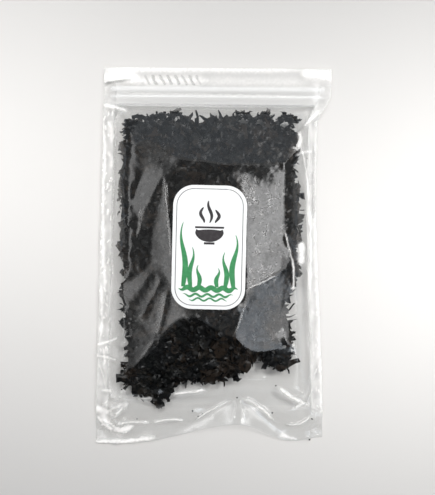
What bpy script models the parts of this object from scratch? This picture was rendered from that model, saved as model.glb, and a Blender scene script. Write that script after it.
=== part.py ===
"""A clear zip pouch of dried cut wakame, lying on its back with its sticker up.

Frame: metres, +Z up out of the sticker, +Y along the pouch towards its zip, +X to the
right of the sticker. The origin is on the table under the middle of the pouch.

The pouch, its zip and the flakes that fill it are one solid with the outer shape of
the film. The sticker is a second, thin solid that follows the film under it.
"""

import math

import bmesh
import bpy
from mathutils import Vector, noise

MM = 0.001

# Driving dimensions of the flat pouch
POUCH_WIDTH = 160.0 * MM
POUCH_LENGTH = 262.0 * MM
SEAL_WIDTH = 9.0 * MM
HEADER_LENGTH = 27.0 * MM
GUSSET_LENGTH = 27.0 * MM
FILM_PAIR = 0.8 * MM

# How the outline is pulled out of square: a slant of the rows, and a waist on the right
ROW_SLANT = 0.0165
WAIST_DEPTH = 9.0 * MM
WAIST_ONSET = 45.0 * MM
WAIST_SPAN = 35.0 * MM
WAIST_START = (114.0 * MM, 22.0 * MM)
WAIST_END = (60.0 * MM, 200.0 * MM)

# The filled pouch as it lies
CROWN_HEIGHT = 32.0 * MM
SEAM_HEIGHT = 7.0 * MM
EDGE_DROP = 2.0 * MM
SIDE_WALL = 16.0 * MM
END_WALL = 24.0 * MM
WALL_ROUNDNESS = 0.7
UNDERSIDE_CURL = 1.35
CROWN_BOW_ACROSS = 0.0011 / MM
CROWN_BOW_ALONG = 0.0005 / MM
CREASE_ROUNDING = 1.2 * MM
RELIEF_ONSET = 0.5

# Zip: two ribs across the mouth, inside the side seals
ZIP_RIBS = ((116.2 * MM, 3.2 * MM, 0.9 * MM), (110.8 * MM, 2.4 * MM, 0.8 * MM))
ZIP_END = 5.0 * MM

# Bottom flap: a cone-shaped buckle that opens from an apex towards the bottom edge
BUCKLE_APEX = (20.0 * MM, -98.0 * MM)
BUCKLE_HALF_ANGLE = math.radians(56.0)
BUCKLE_SLOPE = 0.30
ARCH_HEIGHT = 12.5 * MM
ARCH_REACH_LEFT = 62.0 * MM
ARCH_REACH_RIGHT = 38.0 * MM
FLAP_EDGE_HEIGHT = 1.6 * MM

# Puckers that run in from the side seals, and the flakes that press the film outwards
PUCKER_HEIGHT = 1.5 * MM
PUCKER_PITCH = 23.0 * MM
PUCKER_REACH = 15.0 * MM
PUCKER_ONSET = 4.0 * MM
PUCKER_WANDER = 1.3
PUCKER_WANDER_LENGTH = 19.0 * MM
PUCKER_PHASE_RIGHT = 1.7
SEAL_RIPPLE_HEIGHT = 0.5 * MM
SEAL_RIPPLE_LENGTH = 44.0 * MM
LUMPS = ((0.5 * MM, 22.0 * MM), (0.35 * MM, 6.5 * MM))

# Sticker
STICKER_WIDTH = 50.0 * MM
STICKER_LENGTH = 84.0 * MM
STICKER_RADIUS = 14.0 * MM
STICKER_THICKNESS = 0.4 * MM
STICKER_CENTRE = (-3.0 * MM, 5.0 * MM)
STICKER_GAP = 0.3 * MM
STICKER_STIFFENS = 8.0 * MM
STICKER_TRIM_MARGIN = 2.0 * MM
STICKER_CELLS = (14, 22)
STICKER_ARC_STEPS = 8

# Grid of the pouch: cells in each stretch of the upper side, and the underside's share
SEAL_CELLS = 2
BODY_CELLS_ACROSS = 46
BODY_CELLS_ALONG = 66
FLAP_CELLS = 10
RIB_CELLS = 4
BETWEEN_RIBS_CELLS = 2
HEADER_CELLS = 4
UNDERSIDE_SHARE = 0.5

HALF_WIDTH = POUCH_WIDTH / 2
HALF_LENGTH = POUCH_LENGTH / 2
CHAMBER_SIDE = HALF_WIDTH - SEAL_WIDTH
CHAMBER_TOP = HALF_LENGTH - HEADER_LENGTH
CHAMBER_BOTTOM = -HALF_LENGTH + GUSSET_LENGTH

# Broad facets that the stretched film forms over the flakes. Each is a plane through
# (x, y, height) with a slope along x and along y; the film takes the lowest of them.
FACETS = {
    "towards_zip": (0.0, 58.0 * MM, 28.0 * MM, -0.01, -0.26),
    "beside_sticker": (34.0 * MM, 20.0 * MM, 29.8 * MM, -0.11, 0.01),
    "lower_right": (40.0 * MM, -42.0 * MM, 26.8 * MM, -0.13, 0.17),
    "lower_left": (-38.0 * MM, -40.0 * MM, 27.0 * MM, 0.20, 0.10),
    "upper_left": (-46.0 * MM, 40.0 * MM, 27.3 * MM, 0.17, -0.08),
    "towards_flap": (-8.0 * MM, -74.0 * MM, 20.0 * MM, 0.02, 0.27),
}


def smoothstep(value):
    """0 below 0, 1 above 1, and a smooth rise between."""
    t = min(max(value, 0.0), 1.0)
    return t * t * (3.0 - 2.0 * t)


def soft_min(a, b, rounding):
    """The lower of a and b, with the crease between them rounded."""
    share = max(rounding - abs(a - b), 0.0) / rounding
    return min(a, b) - share * share * rounding / 4.0


def wall(distance, reach):
    """The film's rise from a seam: a quarter round, 0 at the seam and 1 past its reach."""
    t = min(max(distance / reach, 0.0), 1.0)
    return (1.0 - (1.0 - t) ** 2) ** WALL_ROUNDNESS


def fullness(x, y):
    """How far the pouch is open at a point: 0 on the seams and 1 over the flakes."""
    across = wall(CHAMBER_SIDE - abs(x), SIDE_WALL)
    along = wall(CHAMBER_TOP - y, END_WALL) * wall(y - CHAMBER_BOTTOM, END_WALL)
    return across * along


def bottom_arch(x):
    """How far the bottom edge is drawn up, as it rises off the table in one wide arch."""
    offset = x - BUCKLE_APEX[0]
    reach = ARCH_REACH_LEFT if offset < 0 else ARCH_REACH_RIGHT
    return ARCH_HEIGHT * (1.0 - smoothstep(abs(offset) / reach))


def buckle(x, y):
    """Height of the cone-shaped buckle in the bottom flap."""
    down = BUCKLE_APEX[1] - y
    if down <= 0.0:
        return 0.0
    angle = math.atan2(abs(x - BUCKLE_APEX[0]), down)
    radius = math.hypot(x - BUCKLE_APEX[0], down)
    return BUCKLE_SLOPE * radius * (1.0 - smoothstep(angle / BUCKLE_HALF_ANGLE))


def seam_height(x, y):
    """Height of the flat film round the filled part: seals, header and bottom flap."""
    sag = EDGE_DROP * smoothstep((abs(x) - CHAMBER_SIDE) / SEAL_WIDTH)
    sag += EDGE_DROP * smoothstep((y - CHAMBER_TOP) / HEADER_LENGTH)
    flap = smoothstep((CHAMBER_BOTTOM - y) / GUSSET_LENGTH)
    ripple = SEAL_RIPPLE_HEIGHT * math.sin(2.0 * math.pi * y / SEAL_RIPPLE_LENGTH)
    ripple *= smoothstep((abs(x) - CHAMBER_SIDE) / SEAL_WIDTH)
    level = SEAM_HEIGHT - sag + ripple
    return level + (FLAP_EDGE_HEIGHT - level) * flap + buckle(x, y)


def zip_rise(x, y):
    """How far the zip's ribs push each film outwards."""
    ends = smoothstep((CHAMBER_SIDE + ZIP_END - abs(x)) / ZIP_END)
    rise = 0.0
    for centre, width, height in ZIP_RIBS:
        rise += height * max(0.0, 1.0 - ((y - centre) / (width / 2.0)) ** 2)
    return rise * ends


def puckers(x, y):
    """Folds that run in from the side seals and die out over the flakes."""
    distance = CHAMBER_SIDE - abs(x)
    if distance < 0.0:
        return 0.0
    phase = PUCKER_PHASE_RIGHT if x > 0 else 0.0
    phase += PUCKER_WANDER * math.sin(y / PUCKER_WANDER_LENGTH)
    fold = math.sin(2.0 * math.pi * y / PUCKER_PITCH + phase)
    fade = smoothstep(distance / PUCKER_ONSET) * math.exp(-distance / PUCKER_REACH)
    return PUCKER_HEIGHT * fold * fade


def film_top(x, y):
    """Height of the upper film where the pouch is full."""
    dx = x - STICKER_CENTRE[0]
    dy = y - STICKER_CENTRE[1]
    height = CROWN_HEIGHT - CROWN_BOW_ACROSS * dx * dx - CROWN_BOW_ALONG * dy * dy
    for facet_x, facet_y, level, slope_x, slope_y in FACETS.values():
        plane = level + slope_x * (x - facet_x) + slope_y * (y - facet_y)
        height = soft_min(height, plane, CREASE_ROUNDING)
    return height


def lumps(x, y):
    """Unevenness of the flakes under the film, coarse and fine."""
    return sum(height * noise.noise(Vector((x, y, size)) / size) for height, size in LUMPS)


def under_sticker(x, y):
    """1 where the sticker stiffens the film, 0 well clear of it."""
    beside = max(abs(x - STICKER_CENTRE[0]) - STICKER_WIDTH / 2.0, 0.0)
    beyond = max(abs(y - STICKER_CENTRE[1]) - STICKER_LENGTH / 2.0, 0.0)
    return 1.0 - smoothstep(math.hypot(beside, beyond) / STICKER_STIFFENS)


def front_height(x, y):
    """Height of the pouch's upper side."""
    seam = seam_height(x, y) + FILM_PAIR / 2.0
    full = fullness(x, y)
    relief = (lumps(x, y) + puckers(x, y)) * (1.0 - under_sticker(x, y))
    relief *= smoothstep(full / RELIEF_ONSET)
    return seam + (film_top(x, y) - seam) * full + relief + zip_rise(x, y)


def back_height(x, y):
    """Height of the pouch's underside, which lies flat on the table where it is full."""
    seam = seam_height(x, y) - FILM_PAIR / 2.0
    lifted = 1.0 - min(fullness(x, y) * UNDERSIDE_CURL, 1.0)
    return max(seam * lifted - zip_rise(x, y), 0.0)


def stations(stops, cells):
    """Places along one direction: the stretch between each two stops cut into its cells."""
    places = [stops[0]]
    for start, end, count in zip(stops, stops[1:], cells):
        places += [start + (end - start) * (i + 1) / count for i in range(count)]
    return places


def places_across(share):
    """Grid lines across the pouch, with lines on both seal edges.

    share is the part of the full number of cells in each stretch.
    """
    stops = (-HALF_WIDTH, -CHAMBER_SIDE, CHAMBER_SIDE, HALF_WIDTH)
    cells = (SEAL_CELLS, BODY_CELLS_ACROSS, SEAL_CELLS)
    return stations(stops, [round(count * share) for count in cells])


def places_along(share):
    """Grid lines along the pouch, with a line on each rib's crest and foot."""
    stops = [-HALF_LENGTH, CHAMBER_BOTTOM, CHAMBER_TOP]
    cells = [FLAP_CELLS, BODY_CELLS_ALONG]
    for centre, width, _ in sorted(ZIP_RIBS):
        stops += [centre - width / 2.0, centre + width / 2.0]
        cells += [BETWEEN_RIBS_CELLS, RIB_CELLS]
    stops.append(HALF_LENGTH)
    cells.append(HEADER_CELLS)
    return stations(stops, [round(count * share) for count in cells])


def drawn_up(x, y):
    """The place along the pouch, with its rows slanted and its bottom edge arched."""
    share = smoothstep((CHAMBER_BOTTOM - y) / GUSSET_LENGTH)
    return y + bottom_arch(x) * share + ROW_SLANT * x


def drawn_in(x, y):
    """The place across the pouch, with its right side pulled in by what fills it."""
    below_zip = smoothstep((WAIST_START[0] - y) / WAIST_START[1])
    above_flap = 1.0 - smoothstep((WAIST_END[0] - y) / WAIST_END[1])
    share = smoothstep((x - WAIST_ONSET) / WAIST_SPAN)
    return x - WAIST_DEPTH * below_zip * above_flap * share


def add_object(name, bm, material):
    """Puts a finished mesh in the scene as one named object."""
    bmesh.ops.recalc_face_normals(bm, faces=bm.faces)
    mesh = bpy.data.meshes.new(name)
    bm.to_mesh(mesh)
    bm.free()
    mesh.materials.append(material)
    made = bpy.data.objects.new(name, mesh)
    bpy.context.scene.collection.objects.link(made)
    return made


def plain_material(name, colour, roughness, alpha=1.0):
    """A Principled material with one colour."""
    material = bpy.data.materials.new(name)
    material.use_nodes = True
    shader = material.node_tree.nodes["Principled BSDF"]
    shader.inputs["Base Color"].default_value = (*colour, 1.0)
    shader.inputs["Roughness"].default_value = roughness
    shader.inputs["Alpha"].default_value = alpha
    return material


def sheet_grid(bm, across, along):
    """A flat grid whose lines lie at the given places. Returns its vertices."""
    made = bmesh.ops.create_grid(bm, x_segments=len(across) - 1, y_segments=len(along) - 1, size=1.0)
    for vert in made["verts"]:
        column = round((vert.co.x + 1.0) / 2.0 * (len(across) - 1))
        row = round((vert.co.y + 1.0) / 2.0 * (len(along) - 1))
        vert.co.x = across[column]
        vert.co.y = along[row]
    return made["verts"]


def close_rim(bm):
    """Joins the open edges of an upper and a lower sheet with a band of faces."""
    rim = [edge for edge in bm.edges if edge.is_boundary]
    bmesh.ops.bridge_loops(bm, edges=rim)


def build_pouch():
    """The filled pouch: an upper and a lower sheet, joined round the edge."""
    bm = bmesh.new()
    for height, share in ((front_height, 1.0), (back_height, UNDERSIDE_SHARE)):
        for vert in sheet_grid(bm, places_across(share), places_along(share)):
            x, y = vert.co.x, vert.co.y
            vert.co = Vector((drawn_in(x, y), drawn_up(x, y), height(x, y)))
    close_rim(bm)
    film = plain_material("film_over_flakes", (0.10, 0.10, 0.09), 0.12)
    return add_object("pouch", bm, film)


def sticker_outline():
    """Corners of the sticker's rounded rectangle, in order round it."""
    inset_x = STICKER_WIDTH / 2.0 - STICKER_RADIUS
    inset_y = STICKER_LENGTH / 2.0 - STICKER_RADIUS
    points = []
    for quarter, (sign_x, sign_y) in enumerate(((1, 1), (-1, 1), (-1, -1), (1, -1))):
        for step in range(STICKER_ARC_STEPS + 1):
            angle = math.pi / 2.0 * (quarter + step / STICKER_ARC_STEPS)
            x = STICKER_CENTRE[0] + sign_x * inset_x + STICKER_RADIUS * math.cos(angle)
            y = STICKER_CENTRE[1] + sign_y * inset_y + STICKER_RADIUS * math.sin(angle)
            points.append((x, y))
    return points


def build_sticker_cutter():
    """An upright block with the sticker's outline, which trims the sticker."""
    bm = bmesh.new()
    ring = [bm.verts.new((x, y, 0.0)) for x, y in sticker_outline()]
    base = bm.faces.new(ring)
    raised = bmesh.ops.extrude_face_region(bm, geom=[base])
    top = [item for item in raised["geom"] if isinstance(item, bmesh.types.BMVert)]
    bmesh.ops.translate(bm, verts=top, vec=(0.0, 0.0, CROWN_HEIGHT * 2.0))
    cutter = add_object("sticker_cutter", bm, plain_material("cutter", (0.5, 0.5, 0.5), 0.5))
    cutter.hide_render = True
    cutter.display_type = "WIRE"
    return cutter


def build_sticker():
    """The sticker: a thin sheet that follows the film, trimmed to a rounded rectangle."""
    reach_x = STICKER_WIDTH / 2.0 + STICKER_TRIM_MARGIN
    reach_y = STICKER_LENGTH / 2.0 + STICKER_TRIM_MARGIN
    cells_across, cells_along = STICKER_CELLS
    across = stations((STICKER_CENTRE[0] - reach_x, STICKER_CENTRE[0] + reach_x), (cells_across,))
    along = stations((STICKER_CENTRE[1] - reach_y, STICKER_CENTRE[1] + reach_y), (cells_along,))
    bm = bmesh.new()
    for lift in (STICKER_GAP, STICKER_GAP + STICKER_THICKNESS):
        for vert in sheet_grid(bm, across, along):
            row = vert.co.y - ROW_SLANT * vert.co.x
            vert.co.z = front_height(vert.co.x, row) + lift
    close_rim(bm)
    sticker = add_object("sticker", bm, plain_material("paper", (0.93, 0.93, 0.92), 0.35))
    trim = sticker.modifiers.new("trim", "BOOLEAN")
    trim.operation = "INTERSECT"
    trim.object = build_sticker_cutter()
    return sticker


def main():
    for item in list(bpy.data.objects):
        bpy.data.objects.remove(item)
    build_pouch()
    build_sticker()


main()
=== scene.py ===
"""Looks of a clear zip pouch of dried cut wakame that lies on its back, sticker up.

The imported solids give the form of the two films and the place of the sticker. The film,
its zip, the flakes that fill it and the sticker with its print are modelled here, in the
same frame. Lengths are in metres, apart from the lists of points and sizes that say mm.
"""

from __future__ import annotations

import logging
import math
from collections.abc import Callable
from dataclasses import dataclass
from enum import Enum

import bmesh
import bpy
import numpy as np
from bmesh.types import BMesh, BMFace
from bpy.types import Material, NodeSocket, NodeTree, Object
from mathutils import Matrix, Vector, noise
from mathutils.bvhtree import BVHTree
from mathutils.geometry import delaunay_2d_cdt


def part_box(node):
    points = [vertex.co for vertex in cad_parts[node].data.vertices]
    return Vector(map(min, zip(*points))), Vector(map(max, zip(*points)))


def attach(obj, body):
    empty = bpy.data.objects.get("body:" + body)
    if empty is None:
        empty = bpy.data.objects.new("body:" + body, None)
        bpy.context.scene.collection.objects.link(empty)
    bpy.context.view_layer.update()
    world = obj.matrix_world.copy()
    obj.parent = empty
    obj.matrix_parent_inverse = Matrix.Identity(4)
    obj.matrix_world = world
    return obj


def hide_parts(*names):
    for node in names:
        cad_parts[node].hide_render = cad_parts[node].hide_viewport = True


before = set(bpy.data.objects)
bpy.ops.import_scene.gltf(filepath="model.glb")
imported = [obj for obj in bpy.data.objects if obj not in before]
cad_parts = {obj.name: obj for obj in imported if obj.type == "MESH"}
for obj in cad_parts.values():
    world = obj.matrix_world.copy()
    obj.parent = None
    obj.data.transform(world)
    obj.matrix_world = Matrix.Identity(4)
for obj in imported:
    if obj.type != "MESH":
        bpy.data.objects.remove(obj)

LOG = logging.getLogger("wakame_pouch")
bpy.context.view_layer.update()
MM = 0.001
Array = np.ndarray
Draw = np.random.Generator
Colour = tuple[float, float, float]
Pair = tuple[float, float]
Place = tuple[float, float, float]
Point = tuple[float, float]


# ---- small helpers


def smoothstep(value: Array | float) -> Array:
    """0 below 0, 1 above 1, and a smooth rise between."""
    share = np.clip(value, 0.0, 1.0)
    return share * share * (3.0 - 2.0 * share)


def past(value: Array, start: float, reach: float) -> Array:
    """0 up to a start, rising smoothly to 1 at this reach past it."""
    return smoothstep((value - start) / reach)


def noise_at(x: Array, y: Array, size: float, seed: float = 0.0) -> Array:
    """Smooth noise, about -1 to 1, over points in a plane.

    Args:
        x: Places across, in metres.
        y: Places along, in metres.
        size: Size of one lump, in metres.
        seed: Which of many like patterns is read.

    Returns:
        One value for each point, in the shape of x.
    """
    flat = zip((x / size).ravel(), (y / size).ravel())
    values = [noise.noise(Vector((a, b, seed))) for a, b in flat]
    return np.array(values).reshape(x.shape)


def place_object(name: str, bm: BMesh, material: Material) -> Object:
    """Makes a smooth-shaded object of a finished bmesh, at the origin.

    Args:
        name: The piece's name.
        bm: The mesh, which is freed.
        material: The finish of the whole piece.

    Returns:
        The new object.
    """
    mesh = bpy.data.meshes.new(name)
    bm.to_mesh(mesh)
    bm.free()
    mesh.shade_smooth()
    mesh.materials.append(material)
    made = bpy.data.objects.new(name, mesh)
    bpy.context.scene.collection.objects.link(made)
    return made


# ---- shader maths


def operator(kind: str, flipped: bool = False) -> Callable[[Socket, Socket | float], Socket]:
    """Makes a Socket method that adds a Math node.

    Args:
        kind: The Math node's operation.
        flipped: Whether the other value comes first.

    Returns:
        The method.
    """

    def applied(socket: Socket, other: Socket | float) -> Socket:
        """The Math node on the socket and another value."""
        return socket.graph.math(kind, *((other, socket) if flipped else (socket, other)))

    return applied


class Socket:
    """A node's output socket, on which Python's operators add Math nodes."""

    def __init__(self, graph: Graph, socket: NodeSocket) -> None:
        """Wraps one output socket of a graph's node."""
        self.graph = graph
        self.socket = socket

    def output(self, name: str) -> Socket:
        """Another output of the same node."""
        return Socket(self.graph, self.socket.node.outputs[name])

    def __abs__(self) -> Socket:
        """Size without its sign."""
        return self.graph.math("ABSOLUTE", self)

    def __neg__(self) -> Socket:
        """Opposite."""
        return self.graph.math("MULTIPLY", self, -1.0)

    __add__ = __radd__ = operator("ADD")
    __mul__ = __rmul__ = operator("MULTIPLY")
    __sub__, __rsub__ = operator("SUBTRACT"), operator("SUBTRACT", flipped=True)
    __truediv__ = operator("DIVIDE")
    __pow__ = operator("POWER")


class Graph:
    """A node tree that is written as Python expressions."""

    def __init__(self, tree: NodeTree) -> None:
        """Empties a node tree and writes into it."""
        self.tree = tree
        tree.nodes.clear()

    def node(
        self,
        kind: str,
        settings: dict[str, object] | None = None,
        values: dict[str | int, object] | None = None,
    ) -> Socket:
        """Adds one node.

        Args:
            kind: The node's type.
            settings: Its own settings, set first.
            values: Numbers, colours or links for its input sockets.

        Returns:
            The node's first output that is in use.
        """
        made = self.tree.nodes.new(kind)
        for name, value in (settings or {}).items():
            setattr(made, name, value)
        for name, value in (values or {}).items():
            self.put(made.inputs[name], value)
        shown = [socket for socket in made.outputs if socket.enabled]
        return Socket(self, (shown or [None])[0])

    def put(self, entry: NodeSocket, value: object) -> None:
        """Links a wrapped socket to an input, or sets the input's own value.

        Args:
            entry: The input.
            value: A Socket, a number or a colour.
        """
        if isinstance(value, Socket):
            self.tree.links.new(value.socket, entry)
        elif isinstance(value, tuple) and len(value) == 3 and entry.type == "RGBA":
            entry.default_value = (*value, 1.0)
        else:
            entry.default_value = value

    def math(self, operation: str, *values: Socket | float) -> Socket:
        """A Math node on one, two or three values."""
        return self.node("ShaderNodeMath", {"operation": operation}, dict(enumerate(values)))

    def rise(self, value: Socket, start: float, end: float) -> Socket:
        """0 before start and 1 past end, smooth between.

        Args:
            value: What rises.
            start: Where it leaves 0.
            end: Where it reaches 1, which may lie below start.

        Returns:
            The clamped share.
        """
        settings = {"interpolation_type": "SMOOTHSTEP", "clamp": True}
        flipped = end < start
        ends = {"From Min": min(start, end), "From Max": max(start, end), "Value": value}
        ends |= {"To Min": 1.0, "To Max": 0.0} if flipped else {}
        return self.node("ShaderNodeMapRange", settings, ends)

    def blend(self, share: Socket | float, first: object, second: object) -> Socket:
        """Mixes two colours.

        Args:
            share: The second colour's share.
            first: A Socket or a plain colour.
            second: The same.

        Returns:
            The mixed colour.
        """
        made = self.tree.nodes.new("ShaderNodeMix")
        made.data_type = "RGBA"
        self.put(made.inputs["Factor"], share)
        self.put(made.inputs[6], first)
        self.put(made.inputs[7], second)
        return Socket(self, made.outputs[2])

    def place(self) -> Socket:
        """The Object coordinates."""
        return self.node("ShaderNodeTexCoord").output("Object")

    def noise(self, place: Socket, lump: float, detail: float = 3.0, rough: float = 0.5) -> Socket:
        """Noise, 0 to 1, with lumps of about the given size in metres."""
        values = {"Vector": place, "Scale": 1.0 / lump, "Detail": detail, "Roughness": rough}
        return self.node("ShaderNodeTexNoise", {}, values).output("Fac")

    def bump(self, height: Socket, depth: float, strength: float = 1.0) -> Socket:
        """A Normal from a height pattern, 0 to 1, of the given depth in metres."""
        values = {"Height": height, "Distance": depth, "Strength": strength}
        return self.node("ShaderNodeBump", {}, values)

    def surface(self, shader: Socket) -> None:
        """Ends the graph in its output node."""
        self.node("ShaderNodeOutputMaterial", {}, {"Surface": shader})


def new_material(name: str) -> tuple[Material, Graph]:
    """An empty material and the graph that writes it.

    Args:
        name: The material's name.

    Returns:
        The material and its graph.
    """
    material = bpy.data.materials.new(name)
    material.use_nodes = True
    return material, Graph(material.node_tree)


# ---- finishes


@dataclass(frozen=True)
class ClearFilm:
    """Thin clear film: it lets most light through and mirrors the rest; where its white share says, it
    turns a matt hazy white, which also carries painted highlights.
    """

    name: str
    tint: Colour = (0.970, 0.973, 0.973)
    mirrored: float = 0.077
    # colour and roughness of the film's white share: haze on the seals, and painted highlights along its
    # creases
    haze_and_highlight: Colour = (0.97, 0.95, 0.925)
    roughness: float = 0.03
    crinkle_size: float = 6.0 * MM
    crinkle_depth: float = 0.035 * MM
    haze_and_highlight_roughness: float = 0.4

    def material(self) -> Material:
        """A share that grows towards the film's edge-on view is mirrored, the rest let through.

        Returns:
            The film's material.
        """
        material, graph = new_material(self.name)
        place = graph.place()
        white = graph.node("ShaderNodeAttribute", {"attribute_name": "white"}).output("Fac")
        crinkle = graph.noise(place, self.crinkle_size, 3.0, 0.45)
        normal = graph.bump(crinkle, self.crinkle_depth)
        facing = graph.node("ShaderNodeLayerWeight", {}, {"Blend": 0.5, "Normal": normal}).output("Facing")
        share = facing**5.0 * (1.0 - self.mirrored) + self.mirrored
        mirror = {
            "Base Color": (1.0, 1.0, 1.0),
            "Metallic": 1.0,
            "Roughness": graph.noise(place, self.crinkle_size * 3.0) * 0.02 + self.roughness,
            "Normal": normal,
        }
        clear = graph.node("ShaderNodeBsdfTransparent", {}, {"Color": self.tint})
        gloss = graph.node("ShaderNodeBsdfPrincipled", {}, mirror)
        film = graph.node("ShaderNodeMixShader", {}, {0: share, 1: clear, 2: gloss})
        # the white attribute mixes in a matt white: haze on the seals and painted highlights along the
        # creases
        haze_and_highlight = {"Base Color": self.haze_and_highlight, "Roughness": self.haze_and_highlight_roughness}
        cloudy = graph.node("ShaderNodeBsdfPrincipled", {}, haze_and_highlight)
        graph.surface(graph.node("ShaderNodeMixShader", {}, {0: white, 1: film, 2: cloudy}))
        return material


@dataclass(frozen=True)
class MilkyPlastic:
    """Thicker clear plastic, a little cloudy, as of a zip's track."""

    name: str
    cloud: float
    colour: Colour = (0.96, 0.965, 0.965)
    tint: Colour = (0.97, 0.97, 0.97)
    streak_size: float = 3.0 * MM

    def material(self) -> Material:
        """Clear plastic in which a steady share of the light is scattered.

        Returns:
            The plastic's material.
        """
        material, graph = new_material(self.name)
        streak = graph.noise(graph.place(), self.streak_size)
        body = {"Base Color": self.colour, "Roughness": streak * 0.1 + 0.12}
        clear = graph.node("ShaderNodeBsdfTransparent", {}, {"Color": self.tint})
        cloudy = graph.node("ShaderNodeBsdfPrincipled", {}, body)
        share = streak * 0.12 + (self.cloud - 0.06)
        graph.surface(graph.node("ShaderNodeMixShader", {}, {0: share, 1: clear, 2: cloudy}))
        return material


@dataclass(frozen=True)
class DriedSeaweed:
    """Dry wakame: near black, with green and brown where it is thin."""

    name: str
    black: Colour = (0.0018, 0.0020, 0.0021)
    green: Colour = (0.0062, 0.0078, 0.0068)
    brown: Colour = (0.0165, 0.0112, 0.0076)
    roughness: float = 0.36
    gloss: float = 0.14
    coat: float = 0.75
    coat_roughness: float = 0.2
    mottle_size: float = 1.6 * MM
    patch_size: float = 26.0 * MM
    coat_size: float = 4.0 * MM
    wrinkle_size: float = 1.7 * MM
    wrinkle_depth: float = 0.35 * MM
    green_span: Pair = (0.60, 0.95)
    brown_span: Pair = (0.70, 1.05)

    def material(self) -> Material:
        """Mottled by object coordinates, and each flake shifted by its own tone attribute.

        Returns:
            The flakes' material.
        """
        material, graph = new_material(self.name)
        place = graph.place()
        tone = graph.node("ShaderNodeAttribute", {"attribute_name": "tone"}).output("Fac")
        mottle = graph.noise(place, self.mottle_size, 4.0, 0.6)
        patch = graph.noise(place, self.patch_size, 1.0)
        wrinkle = abs(graph.noise(place, self.wrinkle_size, 2.0, 0.55) - 0.5) * 2.0
        coated = graph.rise(graph.noise(place, self.coat_size, 2.0), 0.50, 0.62)
        greener = graph.rise(mottle * 0.7 + tone * 0.6, *self.green_span)
        browner = graph.rise(patch * 0.8 + tone * 0.6, *self.brown_span)
        colour = graph.blend(browner, graph.blend(greener, self.black, self.green), self.brown)
        values = {
            "Base Color": colour,
            "Roughness": mottle * 0.3 + (self.roughness - 0.15),
            "Specular IOR Level": self.gloss,
            "Coat Weight": coated * self.coat,
            "Coat Roughness": self.coat_roughness,
            "Normal": graph.bump(wrinkle, self.wrinkle_depth, 0.8),
        }
        graph.surface(graph.node("ShaderNodeBsdfPrincipled", {}, values))
        return material


@dataclass(frozen=True)
class CoatedPaper:
    """White sticker paper with a smooth coat."""

    name: str
    colour: Colour = (0.80, 0.805, 0.80)
    cloud_size: float = 14.0 * MM
    fibre_size: float = 0.35 * MM
    fibre_depth: float = 0.01 * MM

    def material(self) -> Material:
        """White with a faint mottle and a fine paper grain under the coat.

        Returns:
            The paper's material.
        """
        material, graph = new_material(self.name)
        place = graph.place()
        cloud = graph.noise(place, self.cloud_size)
        fibre = graph.noise(place, self.fibre_size, 4.0)
        dull = tuple(channel * 0.97 for channel in self.colour)
        values = {
            "Base Color": graph.blend(cloud, dull, self.colour),
            "Roughness": fibre * 0.1 + 0.38,
            "Normal": graph.bump(fibre, self.fibre_depth, 0.4),
        }
        graph.surface(graph.node("ShaderNodeBsdfPrincipled", {}, values))
        return material


@dataclass(frozen=True)
class PrintedInk:
    """Flat printed ink that varies a little in strength, as a brushed fill does."""

    name: str
    colour: Colour
    pale: float = 1.25
    patch_size: float = 2.4 * MM

    def material(self) -> Material:
        """The ink's colour with soft paler patches.

        Returns:
            The ink's material.
        """
        material, graph = new_material(self.name)
        patches = graph.noise(graph.place(), self.patch_size, 3.0)
        paler = tuple(min(channel * self.pale + 0.01, 1.0) for channel in self.colour)
        values = {
            "Base Color": graph.blend(graph.rise(patches, 0.4, 0.75), self.colour, paler),
            "Roughness": patches * 0.1 + 0.35,
        }
        graph.surface(graph.node("ShaderNodeBsdfPrincipled", {}, values))
        return material


@dataclass(frozen=True)
class PaleTable:
    """A plain matt white table."""

    name: str = "pale_table"
    colour: Colour = (0.672, 0.656, 0.637)
    cloud_size: float = 160.0 * MM

    def material(self) -> Material:
        """Nearly white, with a very faint cloudiness.

        Returns:
            The table's material.
        """
        material, graph = new_material(self.name)
        cloud = graph.noise(graph.place(), self.cloud_size, 2.0)
        dull = tuple(channel * 0.985 for channel in self.colour)
        values = {"Base Color": graph.blend(cloud, dull, self.colour), "Roughness": cloud * 0.1 + 0.7}
        graph.surface(graph.node("ShaderNodeBsdfPrincipled", {}, values))
        return material


# ---- the film's form


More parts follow.
